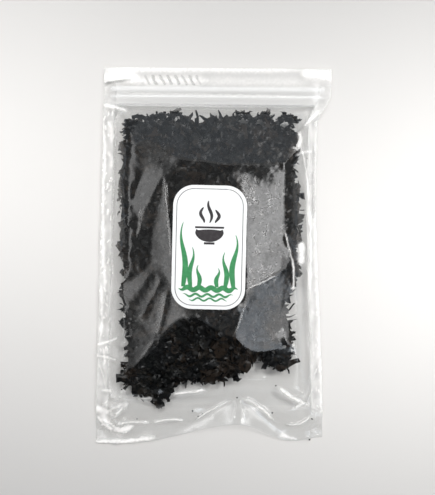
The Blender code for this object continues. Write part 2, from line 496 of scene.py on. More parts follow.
@dataclass(frozen=True)
class PouchOutline:
    """How the flat pouch is pulled out of square, with the solid's sizes.

    The drop of the flap's two lower corners is the film's own.
    """

    half_width: float = 80.0 * MM
    half_length: float = 131.0 * MM
    seal_width: float = 9.0 * MM
    end_length: float = 27.0 * MM
    row_slant: float = 0.0165
    waist_depth: float = 9.0 * MM
    waist_onset: float = 45.0 * MM
    waist_span: float = 35.0 * MM
    waist_start: Pair = (114.0 * MM, 22.0 * MM)
    waist_end: Pair = (60.0 * MM, 200.0 * MM)
    arch_x: float = 20.0 * MM
    arch_height: float = 12.5 * MM
    arch_reach: Pair = (62.0 * MM, 38.0 * MM)
    foot_drop: Pair = (2.8 * MM, -2.2 * MM)

    @property
    def chamber_side(self) -> float:
        """Distance from the middle to the inner edge of a side seal."""
        return self.half_width - self.seal_width

    @property
    def chamber_end(self) -> float:
        """Distance from the middle to the flakes' end at the zip and at the bottom flap."""
        return self.half_length - self.end_length

    def shift(self, x: Array, y: Array) -> tuple[Array, Array]:
        """How far each place of the flat pouch is moved.

        Args:
            x: Places across the flat pouch.
            y: Places along it.

        Returns:
            The shifts across and along.
        """
        waist = smoothstep((self.waist_start[0] - y) / self.waist_start[1])
        waist = waist * (1.0 - smoothstep((self.waist_end[0] - y) / self.waist_end[1]))
        across = -self.waist_depth * waist * past(x, self.waist_onset, self.waist_span)
        offset = x - self.arch_x
        reach = np.where(offset < 0.0, *self.arch_reach)
        arch = self.arch_height * (1.0 - smoothstep(np.abs(offset) / reach))
        arch = arch - self.foot_drop[0] * past(-x, 28.0 * MM, 30.0 * MM)
        arch = arch - self.foot_drop[1] * past(x, 62.0 * MM, 16.0 * MM)
        flap = past(-y, self.chamber_end, self.end_length)
        return across, arch * flap + self.row_slant * x

    def pulled(self, x: Array, y: Array) -> tuple[Array, Array]:
        """Real places of places on the flat pouch."""
        across, along = self.shift(np.asarray(x), np.asarray(y))
        return x + across, y + along

    def flat(self, x: Array, y: Array) -> tuple[Array, Array]:
        """Places on the flat pouch of real places, found by repeated correction.

        Args:
            x: Real places across.
            y: Real places along.

        Returns:
            The flat places across and along.
        """
        flat_x, flat_y = np.asarray(x, float), np.asarray(y, float)
        for _ in range(6):
            across, along = self.shift(flat_x, flat_y)
            flat_x, flat_y = x - across, y - along
        return flat_x, flat_y


@dataclass(frozen=True)
class Crumple:
    """Flat facets with sharp creases between them, as in crushed film, sizes in mm."""

    spacing: float
    height: float
    seed: int

    def relief(self, x: Array, y: Array) -> Array:
        """Heights of a network of triangles whose corners have random heights.

        Args:
            x: Places across, in metres.
            y: Places along.

        Returns:
            One height for each place.
        """
        draw = np.random.default_rng(self.seed)
        pitch = self.spacing * MM
        columns = np.arange(x.min() - 2 * pitch, x.max() + 2 * pitch, pitch)
        rows = np.arange(y.min() - 2 * pitch, y.max() + 2 * pitch, pitch)
        places = np.stack(np.meshgrid(columns, rows), axis=-1).reshape(-1, 2)
        places += draw.uniform(-0.42, 0.42, places.shape) * pitch
        corners, _, faces, *_ = delaunay_2d_cdt([Vector(place) for place in places], [], [], 0, 1e-7)
        heights = draw.normal(0.0, self.height * MM, len(corners))
        network = BVHTree.FromPolygons([(*corner, high) for corner, high in zip(corners, heights)], faces)
        down = Vector((0.0, 0.0, -1.0))
        met = [network.ray_cast(Vector((a, b, 1.0)), down)[0] for a, b in zip(x.ravel(), y.ravel())]
        return np.array([point.z if point else 0.0 for point in met]).reshape(x.shape)


@dataclass(frozen=True)
class FilmPanel:
    """A nearly flat field that the stretched film forms.

    The slopes hold at its middle. They change by bend for each mm in the direction of bend_way,
    in degrees from the x axis. The outline is in mm.
    """

    name: str
    slope_x: float
    slope_y: float
    bend: float
    bend_way: float
    outline: tuple[Point, ...]

    def covers(self, x: Array, y: Array) -> Array:
        """Which points lie inside the outline.

        Args:
            x: Places across, in metres.
            y: Places along.

        Returns:
            A mask in the shape of x.
        """
        inside = np.zeros(x.shape, bool)
        for (x1, y1), (x2, y2) in zip(self.outline, self.outline[1:] + self.outline[:1]):
            if y1 == y2:
                continue
            crosses = (y1 * MM > y) != (y2 * MM > y)
            inside ^= crosses & (x < ((x2 - x1) * (y / MM - y1) / (y2 - y1) + x1) * MM)
        return inside


@dataclass(frozen=True)
class Trace:
    """An arc on the film, in mm: from its first point, bent towards its second, to its third."""

    points: tuple[Point, ...]

    def curve(self, steps: int = 14) -> Array:
        """Points along the trace, in metres.

        Args:
            steps: Number of stretches between them.

        Returns:
            One row for each point.
        """
        share = np.linspace(0.0, 1.0, steps + 1)[:, None]
        ends = np.array(self.points) * MM
        return ends[0] * (1 - share) ** 2 + ends[1] * 2 * share * (1 - share) + ends[2] * share**2

    def near(self, x: Array, y: Array, reach: float) -> tuple[Array, ...]:
        """Which points lie close to the trace, and how they lie to it.

        Args:
            x: Places across, in metres.
            y: Places along.
            reach: Points further than this from the trace's own box are left out.

        Returns:
            A mask of the close points, their distances, and their fade towards its two ends.
        """
        line = self.curve()
        low, high = line.min(axis=0) - reach, line.max(axis=0) + reach
        close = (x > low[0]) & (x < high[0]) & (y > low[1]) & (y < high[1])
        x, y = x[close], y[close]
        nearest, place = np.full(x.shape, 1.0), np.zeros(x.shape)
        for step, (start, end) in enumerate(zip(line, line[1:])):
            run = end - start
            share = ((x - start[0]) * run[0] + (y - start[1]) * run[1]) / (run @ run)
            share = np.clip(share, 0.0, 1.0)
            distance = np.hypot(x - start[0] - share * run[0], y - start[1] - share * run[1])
            closer = distance < nearest
            nearest = np.where(closer, distance, nearest)
            place = np.where(closer, (step + share) / (len(line) - 1), place)
        fade = smoothstep(place / 0.2) * smoothstep((1.0 - place) / 0.2)
        return close, nearest, fade


@dataclass(frozen=True)
class Fold(Trace):
    """A ridge or a valley of the film along a trace, sizes in mm."""

    height: float
    width: float
    crest: float = 0.3

    def add_to(self, relief: Array, x: Array, y: Array) -> None:
        """Adds the fold's height to a relief.

        Args:
            relief: Heights, changed in place.
            x: Places across, in metres.
            y: Places along.
        """
        close, nearest, fade = self.near(x, y, 8.0 * MM)
        crest = self.crest * MM
        away = (np.hypot(nearest, crest) - crest) / (self.width * MM)
        relief[close] += self.height * MM * np.exp(-away) * fade


@dataclass(frozen=True)
class Gleam(Trace):
    """A trace painted white on the film, a painted highlight along a crease, or a painted darker line where
    its level is below 0.
    """

    width: float
    level: float

    def add_to(self, shares: Array, x: Array, y: Array) -> None:
        """Adds the share of white to shares.

        Args:
            shares: Shares, changed in place.
            x: Places across, in metres.
            y: Places along.
        """
        close, nearest, fade = self.near(x, y, 3.0 * self.width * MM)
        width = self.width * MM * (0.45 + 0.55 * fade)
        shares[close] += self.level * np.exp(-((nearest / width) ** 2)) * fade


# Each panel's name, slopes across and along, bend, bend way and outline. The panels meet along
# the film's creases, so neighbours share the points between them.
PANELS = (
    FilmPanel("top_band", 0.02, -0.19, 0, 0, ((-67.3, 98.2), (51, 101.1), (58.4, 79.5), (57.2, 72.7),
        (46.5, 63.6), (37, 61.3), (9.8, 61.3), (-17.5, 64), (-29.7, 65.1), (-38.1, 71.7), (-46.4, 78.3),
        (-51.8, 75.4), (-58.4, 69.8), (-66.6, 69.6))),
    FilmPanel("left_upper", -0.01, 0.01, -0.005, 0, ((-66.6, 69.6), (-58.4, 69.8), (-51.8, 75.4),
        (-46.4, 78.3), (-38.1, 71.7), (-29.7, 65.1), (-33.6, 56.8), (-44.5, 56.6), (-47.2, 55.1),
        (-53.8, 48.2), (-61.9, 45.3), (-66, 45.2))),
    FilmPanel("left_light", 0.19, 0.01, 0.004, 0, ((-48.6, 55.8), (-44.5, 56.6), (-34.3, 56.8),
        (-40.1, 44.4), (-45.3, 34.1), (-48.6, 27.2), (-52.6, 25.1), (-56.1, 29.1), (-55.6, 37.2),
        (-52.4, 46.8))),
    FilmPanel("left_edge", -0.1, 0.02, 0, 0, ((-66, 45.2), (-61.9, 45.3), (-53.8, 48.2), (-52.4, 46.8),
        (-55.6, 37.2), (-56.1, 29.1), (-52.6, 25.1), (-53.1, 16.9), (-54.2, 8.7), (-59.5, 3.1),
        (-64.9, 1.6))),
    FilmPanel("left_hollow", 0, 0.03, 0, 0, ((-34.3, 56.8), (-34.9, 52.7), (-37.2, 36.3), (-40.2, 21.3),
        (-43.3, 9), (-41.6, -4.6), (-42.9, -8.7), (-49.6, -13.7), (-58.8, -25.4), (-64.1, -32.4),
        (-64.9, 1.6), (-59.5, 3.1), (-54.2, 8.7), (-53.1, 16.9), (-52.6, 25.1), (-48.6, 27.2),
        (-45.3, 34.1), (-40.1, 44.4))),
    FilmPanel("beside_left", 0.09, -0.02, 0.006, 0, ((-34.3, 56.8), (-31.8, 36.5), (-29.3, 19.5),
        (-28, -5.6), (-28.3, -20.6), (-33.3, -12.6), (-37.5, -8.6), (-42.9, -8.7), (-41.6, -4.6),
        (-43.3, 9), (-40.2, 21.3), (-37.2, 36.3), (-34.9, 52.7))),
    FilmPanel("above_sticker", -0.01, 0.09, 0, 0, ((-33.6, 56.8), (-29.7, 65.1), (-17.5, 64),
        (9.8, 61.3), (37, 61.3), (46.5, 63.6), (46.7, 57.4), (38.6, 53.2), (31.8, 51.6), (24.9, 54.9),
        (16.7, 56.7), (4.5, 57.8), (11.4, 51.1), (15.7, 44.4), (-25.1, 43.4), (-29, 36.5), (-31.8, 36.5))),
    FilmPanel("beside_right", -0.17, 0.02, 0, 0, ((4.5, 57.8), (16.7, 56.7), (24.9, 54.9), (31.8, 51.6),
        (38.6, 53.2), (46.7, 57.4), (48.1, 28.2), (49.8, 11.2), (52.2, -3.7), (50.3, -6.4),
        (44.2, -10.7), (38.9, -13.5), (33.5, -17.1), (24.1, -22.1), (22.8, -23.5), (21.3, 37.8),
        (17, 46.5), (11.4, 51.1))),
    FilmPanel("lower_right", -0.26, 0.15, 0.004, 90, ((24.1, -22.1), (33.5, -17.1), (38.9, -13.5),
        (44.2, -10.7), (50.3, -6.4), (54.7, -22.7), (52.8, -27.5), (55.7, -32.9), (53.1, -37.7),
        (55.9, -43.1), (52.6, -47.9), (54.1, -52.6), (50.1, -56.1), (50.9, -60.2), (44.2, -63.8),
        (30, -66.8), (21.7, -62.3), (16.1, -55.6), (19.2, -44), (24.3, -28.9), (22.8, -24.8))),
    FilmPanel("right_side", -0.5, -0.01, 0, 0, ((47.2, 63.6), (57.2, 71.3), (59.4, 65.9), (62.5, -59.9),
        (50.9, -60.2), (50.1, -56.1), (54.1, -52.6), (52.6, -47.9), (55.9, -43.1), (53.1, -37.7),
        (55.7, -32.9), (52.8, -27.5), (54.7, -22.7), (52.2, -3.7), (49.8, 11.2), (48.1, 28.2))),
    FilmPanel("leaf_rim", 0.15, 0.04, 0, 0, ((-64, -36.5), (-62.8, -29.6), (-57.5, -22.7),
        (-49.6, -13.7), (-42.9, -8.7), (-36.8, -9.3), (-42.8, -14.8), (-47.4, -21.1), (-52.6, -28),
        (-57.9, -35), (-63.9, -40.5))),
    FilmPanel("leaf_dark", -0.07, -0.07, 0, 0, ((-42.8, -14.8), (-38.7, -15.4), (-39.2, -22.2),
        (-41.7, -30.5), (-45.6, -38.7), (-50.9, -44.3), (-58.3, -45.8), (-63.8, -46), (-63.9, -40.5),
        (-57.9, -35), (-52.6, -28), (-47.4, -21.1))),
    FilmPanel("leaf_inner", 0.01, -0.05, 0, 0, ((-36.8, -9.3), (-33.3, -12.6), (-31.8, -19.3),
        (-35.5, -31.7), (-40.6, -46.8), (-48.5, -56.5), (-62, -63), (-63.4, -63), (-63.8, -46),
        (-58.3, -45.8), (-50.9, -44.3), (-45.6, -38.7), (-41.7, -30.5), (-39.2, -22.2), (-38.7, -15.4),
        (-42.8, -14.8))),
    FilmPanel("leaf_outer", -0.02, -0.11, 0, 0, ((-33.3, -12.6), (-28.3, -20.6), (-27.9, -39.7),
        (-29.6, -50.6), (-36.2, -60.3), (-41.4, -69.3), (-49.4, -77.6), (-57.4, -82.6), (-62.8, -85.4),
        (-63.4, -63), (-62, -63), (-48.5, -56.5), (-40.6, -46.8), (-35.5, -31.7), (-31.8, -19.3))),
    FilmPanel("below_left", 0.04, 0.03, 0, 0, ((-28.3, -20.6), (-21.9, -31.3), (-4.8, -37.1),
        (0.3, -49.9), (-4.6, -45.9), (-10.8, -42.6), (-18.3, -42.1), (-25, -45), (-29.6, -50.6),
        (-27.9, -39.7))),
    FilmPanel("below_sticker", 0.05, 0.26, 0, 0, ((-4.8, -37.1), (19, -34.4), (22.8, -24.8),
        (24.3, -28.9), (19.2, -44), (16.1, -55.6), (5.8, -53.8), (0.3, -49.9))),
    FilmPanel("flap_side", 0.05, 0.36, 0, 0, ((-62.8, -85.4), (-57.4, -82.6), (-49.4, -77.6),
        (-41.4, -69.3), (-36.2, -60.3), (-29.6, -50.6), (-25, -45), (-18.3, -42.1), (-10.8, -42.6),
        (-4.6, -45.9), (0.3, -49.9), (5.8, -53.8), (16.1, -55.6), (21.7, -62.3), (30, -66.8),
        (44.2, -63.8), (50.8, -56.8), (53.6, -60.1), (62.5, -59.9), (63.3, -94.6), (-62.5, -97.7))),
    FilmPanel("under_sticker", -0.03, 0.02, 0, 0, ((-25.1, 43.4), (15.7, 44.4), (17, 46.5), (21.3, 37.8),
        (22.8, -24.8), (19, -34.4), (-4.8, -37.1), (-21.9, -31.3), (-28.3, -20.6), (-28, -5.6),
        (-29.3, 19.5), (-31.8, 36.5))),
)

# Each fold has its points, its height, its width and, where it is blunt, its crest.
FOLDS = (
    # the ridges beside the sticker and the upper corners of the filled part
    Fold(((47.9, 16.7), (53, 4.5), (54.6, -7.8)), 0.9, 1.5),
    Fold(((54.9, -3.7), (55.8, -14.7), (55.5, -29.9)), 0.9, 1.3),
    Fold(((-34.3, 55.5), (-33.2, 36.5), (-28.5, 12.1)), 0.35, 1),
    Fold(((60.5, 90), (65.9, 95.8), (72, 102.9)), 1.1, 1.3),
    Fold(((-79.1, 102.7), (-70.7, 101.5), (-62.2, 97.5)), 0.9, 1.2),
    # the right seal
    Fold(((59, 74.9), (63.6, 61), (66.2, 39.9)), 1, 0.8),
    Fold(((66.2, 39.9), (69.2, 4.8), (67.9, -30.4)), 0.9, 1),
    # the left seal
    Fold(((-82.5, -73.7), (-75.6, -70.7), (-69.2, -71.2)), 0.88, 0.8),
    Fold(((-79.5, -71.9), (-72.5, -69), (-62.8, -62.4)), 0.9, 0.9),
    Fold(((-75.2, -80.4), (-72.9, -88.8), (-74.1, -97.3)), 0.88, 0.8),
    Fold(((-75.5, -97.3), (-72, -96.5), (-68.4, -97.9)), 0.88, 0.8),
    # the bottom flap
    Fold(((-67.9, -122), (-53.9, -117.4), (-41.2, -120.6)), 1.38, 0.8),
    Fold(((-41.2, -120.6), (-31.4, -115.5), (-15.8, -117.9)), 1.38, 0.8),
    Fold(((-11.6, -117.4), (-1.2, -109.4), (16.2, -99.8)), 1.17, 0.8),
    Fold(((22.5, -99), (35.2, -102.9), (45.4, -116)), 1.33, 0.8),
    Fold(((46.9, -91.4), (54.8, -98.2), (65.4, -102.2)), 1.1, 1.1),
    Fold(((59.3, -104.6), (63.5, -103.8), (66.2, -101.6)), 1.1, 0.8),
    Fold(((54, -117.6), (63.3, -120.9), (71.5, -110.8)), 1.25, 0.8),
    Fold(((67.1, -103.9), (72.1, -106.6), (78.5, -107.8)), 0.94, 0.8),
    Fold(((-76, -116.7), (-72.3, -124.4), (-65.1, -127.1)), 1.25, 0.8),
    Fold(((-72.6, -111.7), (-68.2, -118.7), (-62.4, -122.8)), 1.25, 0.8),
    Fold(((-65.1, -127.1), (-60.1, -128.4), (-56, -125.4)), 0.94, 0.8),
    Fold(((-70.1, -111.1), (-63.2, -106.7), (-55.5, -103.7)), 0.8, 1.1),
    Fold(((-65.8, -115.2), (-61.7, -110.2), (-56.9, -105.1)), 1.1, 0.8),
    Fold(((-26.7, -97.9), (-15.6, -96.2), (-2.3, -94.5)), 1.6, 1.1),
    Fold(((-51.2, -102), (-45.6, -101.2), (-40, -101)), 1.2, 0.9),
    Fold(((22.8, -85.5), (31.2, -83.9), (40.4, -85)), 1, 0.9),
    Fold(((-12.1, -124.2), (4.1, -124.5), (21.6, -119.8)), 0.5, 1.6),
    Fold(((32.2, -120.3), (46.5, -127), (64.2, -130.1)), 0.5, 1.6),
    Fold(((18.3, -100.7), (17.1, -107.7), (15.9, -116.2)), 0.6, 1.2),
    Fold(((19.7, -100.6), (22.7, -107.6), (25.7, -114.6)), 0.6, 1.2),
    Fold(((77.9, -106.6), (77.4, -115.1), (75.5, -126.5)), 0.7, 1),
    Fold(((71.2, -122.3), (75.5, -125.1), (79.1, -127.1)), 0.5, 0.9),
    # the leaf-shaped panel beside the sticker
    Fold(((-33.4, -14), (-41.2, -30.6), (-50.4, -48.6)), 0.3, 2.2, 1.2),
    Fold(((-30.5, -23.5), (-33.4, -44.1), (-38.5, -60.7)), 0.3, 1.6, 0.8),
    Fold(((-38, -58.1), (-43.2, -67.9), (-52.6, -79.1)), 0.3, 1.5, 0.8),
)

# Each gleam is a painted highlight line, or a painted darker line where its whiteness is below 0. It has
# its points, its half width in mm and how white it is.
GLEAMS = tuple(Gleam(tuple(points), width, level) for *points, width, level in (
    # the bottom flap
    ((-65.9, -121.2), (-52.5, -117.7), (-39.8, -119.9), 0.6, 0.8),
    ((-40.5, -120.6), (-32.8, -115.1), (-15.8, -117.2), 0.6, 0.8),
    ((-11.6, -117.4), (-0.5, -109.4), (16.9, -99.8), 0.65, 0.85),
    ((21.8, -99.7), (33.8, -102.2), (46.8, -117.4), 0.8, 1),
    ((46.2, -90), (54.8, -98.2), (66.9, -102.8), 1.2, 1),
    ((59.3, -105.3), (62.8, -104.5), (67.6, -100.9), 0.8, 0.9),
    ((52.6, -117.6), (64, -121.6), (72.2, -110.1), 0.6, 0.8),
    ((-28.2, -98), (-15.6, -96.2), (-0.9, -94.1), 0.8, 1),
    ((-51.9, -102), (-45.6, -101.2), (-39.3, -101), 0.6, 0.7),
    ((-88.3, -134), (-61.4, -134.4), (-34.6, -130.2), 1.3, 1.2),
    ((-50.2, -130.3), (-43.1, -129.7), (-36.1, -129.2), 1.2, 0.5),
    ((-83.2, -111.3), (-76.9, -107.6), (-69.7, -114.5), 1.6, 0.9),
    ((-79, -109), (-75.3, -114.6), (-68.8, -121.5), 2.4, 0.5),
    ((-68.7, -125.8), (-61.6, -126.3), (-53.9, -122.6), 1.6, 0.6),
    ((-80.3, -114.7), (-74.4, -121.7), (-67.3, -126.4), 1, 0.9),
    ((-75.3, -116.7), (-68.8, -122.2), (-61.6, -126.3), 0.9, 0.8),
    ((-65.8, -126.4), (-58.8, -124.8), (-52.5, -121.1), 1.4, 0.9),
    ((-73.1, -113), (-64.8, -107.1), (-55, -104), 1, 0.6),
    ((-68.1, -117.8), (-63.3, -110.6), (-56.4, -104.8), 0.7, 0.6),
    ((-78.6, -118.7), (-67.4, -114.2), (-54.9, -105.5), 3, 0.25),
    ((-84, -127.3), (-41.8, -124.9), (-6.6, -119.8), 5, 0.12),
    ((31.7, -98.4), (53.1, -109.9), (76.5, -114.9), 5, 0.08),
    # the left seal
    ((-77, -97.5), (-72.1, -96.7), (-67.1, -98), 0.9, 0.9),
    ((-85.4, -72.3), (-73.4, -74.1), (-62.8, -73.9), 0.7, 0.8),
    ((-82.6, -65.8), (-72.8, -64.1), (-61.7, -56.8), 0.7, 0.8),
    ((-76.4, -66.5), (-73.4, -73.4), (-75.3, -80.5), 0.7, 0.5),
    ((-79.6, -77.8), (-75.2, -84.8), (-73.6, -94.6), 0.6, 0.5),
    ((-81.7, 99.8), (-76.1, 71.7), (-78.9, 43.5), 1, 0.5),
    ((-78.6, 57.6), (-78.9, 15.3), (-74.9, -33.9), 1, 0.5),
    ((-78.8, -19.9), (-76.2, -41), (-78.4, -65.7), 0.8, 0.5),
    ((-76.6, 92.9), (-72.2, 85.9), (-73.4, 75.3), 1.6, 0.4),
    ((-76.8, 71.7), (-71.7, 66.2), (-72.9, 57.7), 1.6, 0.4),
    # the corners of the filled part and its right wall
    ((-82, 103.4), (-70.7, 102.2), (-60.1, 96.9), 1, 0.9),
    ((59.1, 89.3), (65.9, 96.5), (72.7, 103.6), 0.9, 0.9),
    ((63.9, 94.3), (67.9, 98.6), (72.8, 101.5), 0.6, 0.5),
    ((56.8, 78.4), (64.2, 62.4), (66.3, 36.4), 0.55, 0.7),
    ((66.2, 39.9), (69.2, 4.8), (68, -33.9), 0.6, 0.5),
    ((56.7, 86.6), (58.9, 79.7), (55.6, 72.7), 1.4, 0.7),
    ((53.6, 68.5), (60.5, 72.8), (68.1, 74.4), 0.8, 0.6),
    ((59.9, 11.6), (62.2, 3.3), (59.6, -6.5), 2.4, 1),
    ((47.3, 19.5), (52.4, 5.9), (54.8, -9.2), 0.5, 0.55),
    ((54.1, -1), (55.8, -12), (55.4, -25.7), 0.6, 0.75),
    ((74.1, 96.6), (74.9, 5), (79.2, -114.7), 2.2, 0.25),
    ((68.1, 82.3), (69.5, 54.2), (69.5, 22.5), 1.4, -0.4),
    # the header and the zip
    ((-88.7, 127.8), (-12.7, 130.7), (68.3, 131.6), 2.6, 0.45),
    ((-88.6, 122.9), (-72.4, 123.3), (-53.4, 123.7), 3.6, 0.85),
    ((-68.8, 120.5), (-37.1, 121.3), (-1.9, 122.2), 3.4, 0.45),
    ((-16, 121.8), (26.3, 121.5), (70.6, 122.5), 3.6, 0.22),
    ((56.4, 128.5), (70.5, 128.2), (87.4, 126.5), 3.4, 0.7),
    ((-82.9, 118.1), (-68.8, 119.8), (-57.6, 122.2), 0.9, -0.6),
    ((-82.3, 102.4), (-1.5, 103.7), (75.9, 103.5), 0.6, 0.4),
    ((-82.6, 111.2), (-1.7, 112.1), (75.7, 111.9), 0.6, 0.25),
    # the creases over the flakes
    ((22.8, -22.8), (34.9, -17.7), (44.3, -12.1), 0.4, 0.62),
    ((23.6, -28.9), (19.9, -42.7), (15.4, -55.7), 0.4, 0.3),
    ((-34.3, 55.5), (-32.3, 26.3), (-28.1, -5.7), 0.4, 0.28),
    ((-33.2, -23.6), (-33.5, -41.4), (-37.2, -57.9), 1.1, 0.07),
    ((-50.1, 31.3), (-51.2, 21), (-52.3, 8.7), 0.5, 0.16),
    ((-47.4, 32), (-50.5, 18.3), (-51.7, 11.5), 0.4, 0.14),
))


@dataclass
class FilmForm:
    """Heights of the pouch's two films on one fine grid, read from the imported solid."""

    outline: PouchOutline = PouchOutline()
    columns: int = 236
    rows: int = 388
    sampled_blur: float = 2.6 * MM
    body_blur: float = 5.0 * MM
    crease_blur: float = 0.8 * MM
    panel_hold: float = 110.0 * MM
    wall_trust: float = 0.04
    solver_steps: int = 40
    pucker_count: int = 60
    header_slope: float = 0.09
    seal_slope: float = 0.13
    seal_haze: float = 0.36
    header_haze: float = 0.34
    flap_haze: float = 0.07
    edge_slope: float = 0.42
    film_gap: float = 0.3 * MM
    weld_edge: float = 1.2 * MM
    zip_top: float = 118.0 * MM
    header_drop: float = 2.0 * MM
    ripple_pitch: float = 5.2 * MM
    ripple_height: float = 0.16 * MM
    ripple_span: Pair = (-56.0 * MM, -8.0 * MM)
    crushed_corner: Point = (-58.0 * MM, -104.0 * MM)
    curled_from: float = -46.0 * MM
    curled_width: float = 2.4 * MM
    seal_crumple: Crumple = Crumple(7.0, 0.50, 11)
    flap_crumple: Crumple = Crumple(18.0, 0.60, 12)
    header_crumple: Crumple = Crumple(20.0, 0.30, 13)
    wall_crumple: Crumple = Crumple(5.0, 0.28, 14)
    corner_crumple: Crumple = Crumple(5.0, 0.65, 15)
    # width and spread of lean of the painted glints, short white marks on the film
    glint_width: float = 0.42
    glint_spread: float = 22.0
    # middle, reach and height of the two air pockets in the flap
    pockets: tuple[tuple[float, ...], ...] = ((-37.0, -104.0, 12.0, 2.4), (-60.0, -101.0, 9.0, 1.6))
    # low and high x, low and high y, lean in degrees, whiteness and count of each group of painted glints
    glint_groups: tuple[tuple[float, ...], ...] = (
        (18.0, 28.0, 34.0, 54.0, 100.0, 0.20, 40), (26.0, 50.0, -2.0, 52.0, 60.0, 0.14, 90),
        (18.0, 44.0, -22.0, -6.0, 70.0, 0.26, 30), (-80.0, -71.0, -80.0, 100.0, 90.0, 0.6, 80),
        (-78.0, -60.0, -128.0, -100.0, 20.0, 0.6, 60), (72.0, 80.0, -110.0, 60.0, 90.0, 0.3, 40),
        (-50.0, 52.0, 60.0, 92.0, 90.0, 0.05, 110), (22.0, 50.0, -62.0, -22.0, 80.0, 0.08, 40),
    )
    # height and size of the bumps that the flakes press into the film
    lump_heights: tuple[Pair, ...] = (
        (0.10 * MM, 9.0 * MM), (0.035 * MM, 3.2 * MM), (0.014 * MM, 1.9 * MM),
    )

    def __post_init__(self) -> None:
        """Reads the solid, solves the film over its panels and adds the folds."""
        half_width, half_length = self.outline.half_width, self.outline.half_length
        across = np.linspace(-half_width, half_width, self.columns + 1)
        along = np.linspace(-half_length, half_length, self.rows + 1)
        self.step = float(across[1] - across[0])
        self.flat_x, self.flat_y = np.meshgrid(across, along)
        self.x, self.y = self.outline.pulled(self.flat_x, self.flat_y)
        self.welded = past(np.abs(self.flat_x), self.outline.chamber_side, self.weld_edge)
        self.white = self.whitened()
        front, back = self.sampled()
        shared = self.shared_relief()
        self.back = self.blurred(back, self.sampled_blur) + shared
        self.back = np.maximum(self.back, 0.0)
        self.front = self.stretched(front) + shared + self.wrinkles()
        gap = self.film_gap * (1.0 - 0.6 * self.welded)
        self.front = np.maximum(self.front, self.back + gap)

    def sampled(self) -> tuple[Array, Array]:
        """Heights of the solid's upper and lower side at each grid point.

        Returns:
            The upper side's heights and the lower side's.
        """
        bm = bmesh.new()
        bm.from_mesh(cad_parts["pouch"].data)
        solid = BVHTree.FromBMesh(bm)
        bm.free()
        inside = 0.4 * MM
        x, y = self.outline.pulled(
            np.clip(self.flat_x, inside - self.outline.half_width, self.outline.half_width - inside),
            np.clip(self.flat_y, inside - self.outline.half_length, self.outline.half_length - inside),
        )
        down, up = Vector((0.0, 0.0, -1.0)), Vector((0.0, 0.0, 1.0))
        above = [solid.ray_cast(Vector((a, b, 1.0)), down)[0] for a, b in zip(x.ravel(), y.ravel())]
        below = [solid.ray_cast(Vector((a, b, -1.0)), up)[0] for a, b in zip(x.ravel(), y.ravel())]
        sides = []
        for met in (above, below):
            heights = np.array([point.z if point else np.nan for point in met])
            known = np.flatnonzero(~np.isnan(heights))
            heights = np.interp(np.arange(len(heights)), known, heights[known])
            sides.append(heights.reshape(self.x.shape))
        return sides[0], sides[1]

    def blurred(self, heights: Array, size: float) -> Array:
        """Smooths heights.

        Args:
            heights: Heights on the grid.
            size: Reach of the smoothing, in metres.

        Returns:
            The smoothed heights.
        """
        reach = int(3.0 * size / self.step) + 1
        kernel = np.exp(-0.5 * (np.arange(-reach, reach + 1) * self.step / size) ** 2)
        kernel /= kernel.sum()
        padded = np.pad(heights, reach, mode="edge")
        for axis in (0, 1):
            padded = np.apply_along_axis(np.convolve, axis, padded, kernel, "valid")
        return padded

    def inner_share(self, reach: float) -> Array:
        """0 on the seams, rising to 1 inside them.

        Args:
            reach: How far inside it is 1.

        Returns:
            Shares on the grid.
        """
        beside = self.outline.chamber_side - np.abs(self.flat_x)
        along = self.outline.chamber_end - np.abs(self.flat_y)
        return smoothstep(beside / reach) * smoothstep(along / reach)

    def stretched(self, sampled: Array) -> Array:
        """The upper film: the solid's form, with each panel turned to its own slopes.

        Args:
            sampled: Heights of the solid's upper side.

        Returns:
            Heights of the stretched film.
        """
        near_seams = self.blurred(sampled, self.sampled_blur)
        body = self.blurred(sampled, self.body_blur)
        inner = self.inner_share(12.0 * MM)
        base = near_seams + (body - near_seams) * inner
        slope_y, slope_x = np.gradient(base, self.step)
        trust = np.full(base.shape, self.wall_trust)
        beside = self.outline.chamber_side - np.abs(self.flat_x)
        low = past(-self.y, 5.0 * MM, 25.0 * MM)
        wander = noise_at(self.x * 0.2, self.y, 9.0 * MM, 45.0) * 2.5 * MM
        shoulder = smoothstep((beside + wander - (8.0 - 2.5 * low) * MM) / ((9.0 - 2.0 * low) * MM))
        for panel in PANELS:
            covered = panel.covers(self.x, self.y)
            trust[covered] = np.maximum(shoulder[covered], self.wall_trust)
            way = math.radians(panel.bend_way)
            middle_x, middle_y = np.mean(panel.outline, axis=0) * MM
            run, climb = math.cos(way), math.sin(way)
            away = (self.x[covered] - middle_x) * run + (self.y[covered] - middle_y) * climb
            change = panel.bend * away / MM
            share = shoulder[covered]
            slope_x[covered] += (panel.slope_x + change * run - slope_x[covered]) * share
            slope_y[covered] += (panel.slope_y + change * climb - slope_y[covered]) * share
            LOG.debug("panel %s: %d grid points", panel.name, covered.sum())
        solved = self.from_slopes(base, slope_x, slope_y, trust)
        solved = self.blurred(solved, self.crease_blur)
        return base + (solved - base) * self.inner_share(7.0 * MM)

    def relaxed(self, residual: Array, hold: float) -> Array:
        """The heights that would mend a residual, were every slope trusted alike.

        Args:
            residual: What the heights leave unmet.
            hold: How firmly heights are held, per square metre.

        Returns:
            The change of the heights.
        """
        mirrored = np.block([[residual, residual[:, ::-1]], [residual[::-1], residual[::-1, ::-1]]])
        waves_x = 2.0 - 2.0 * np.cos(2.0 * np.pi * np.fft.fftfreq(mirrored.shape[1]))
        waves_y = 2.0 - 2.0 * np.cos(2.0 * np.pi * np.fft.fftfreq(mirrored.shape[0]))
        stiffness = (waves_x[None, :] + waves_y[:, None]) / self.step**2 + hold
        solved = np.fft.ifft2(np.fft.fft2(mirrored) / stiffness).real
        return solved[: residual.shape[0], : residual.shape[1]]

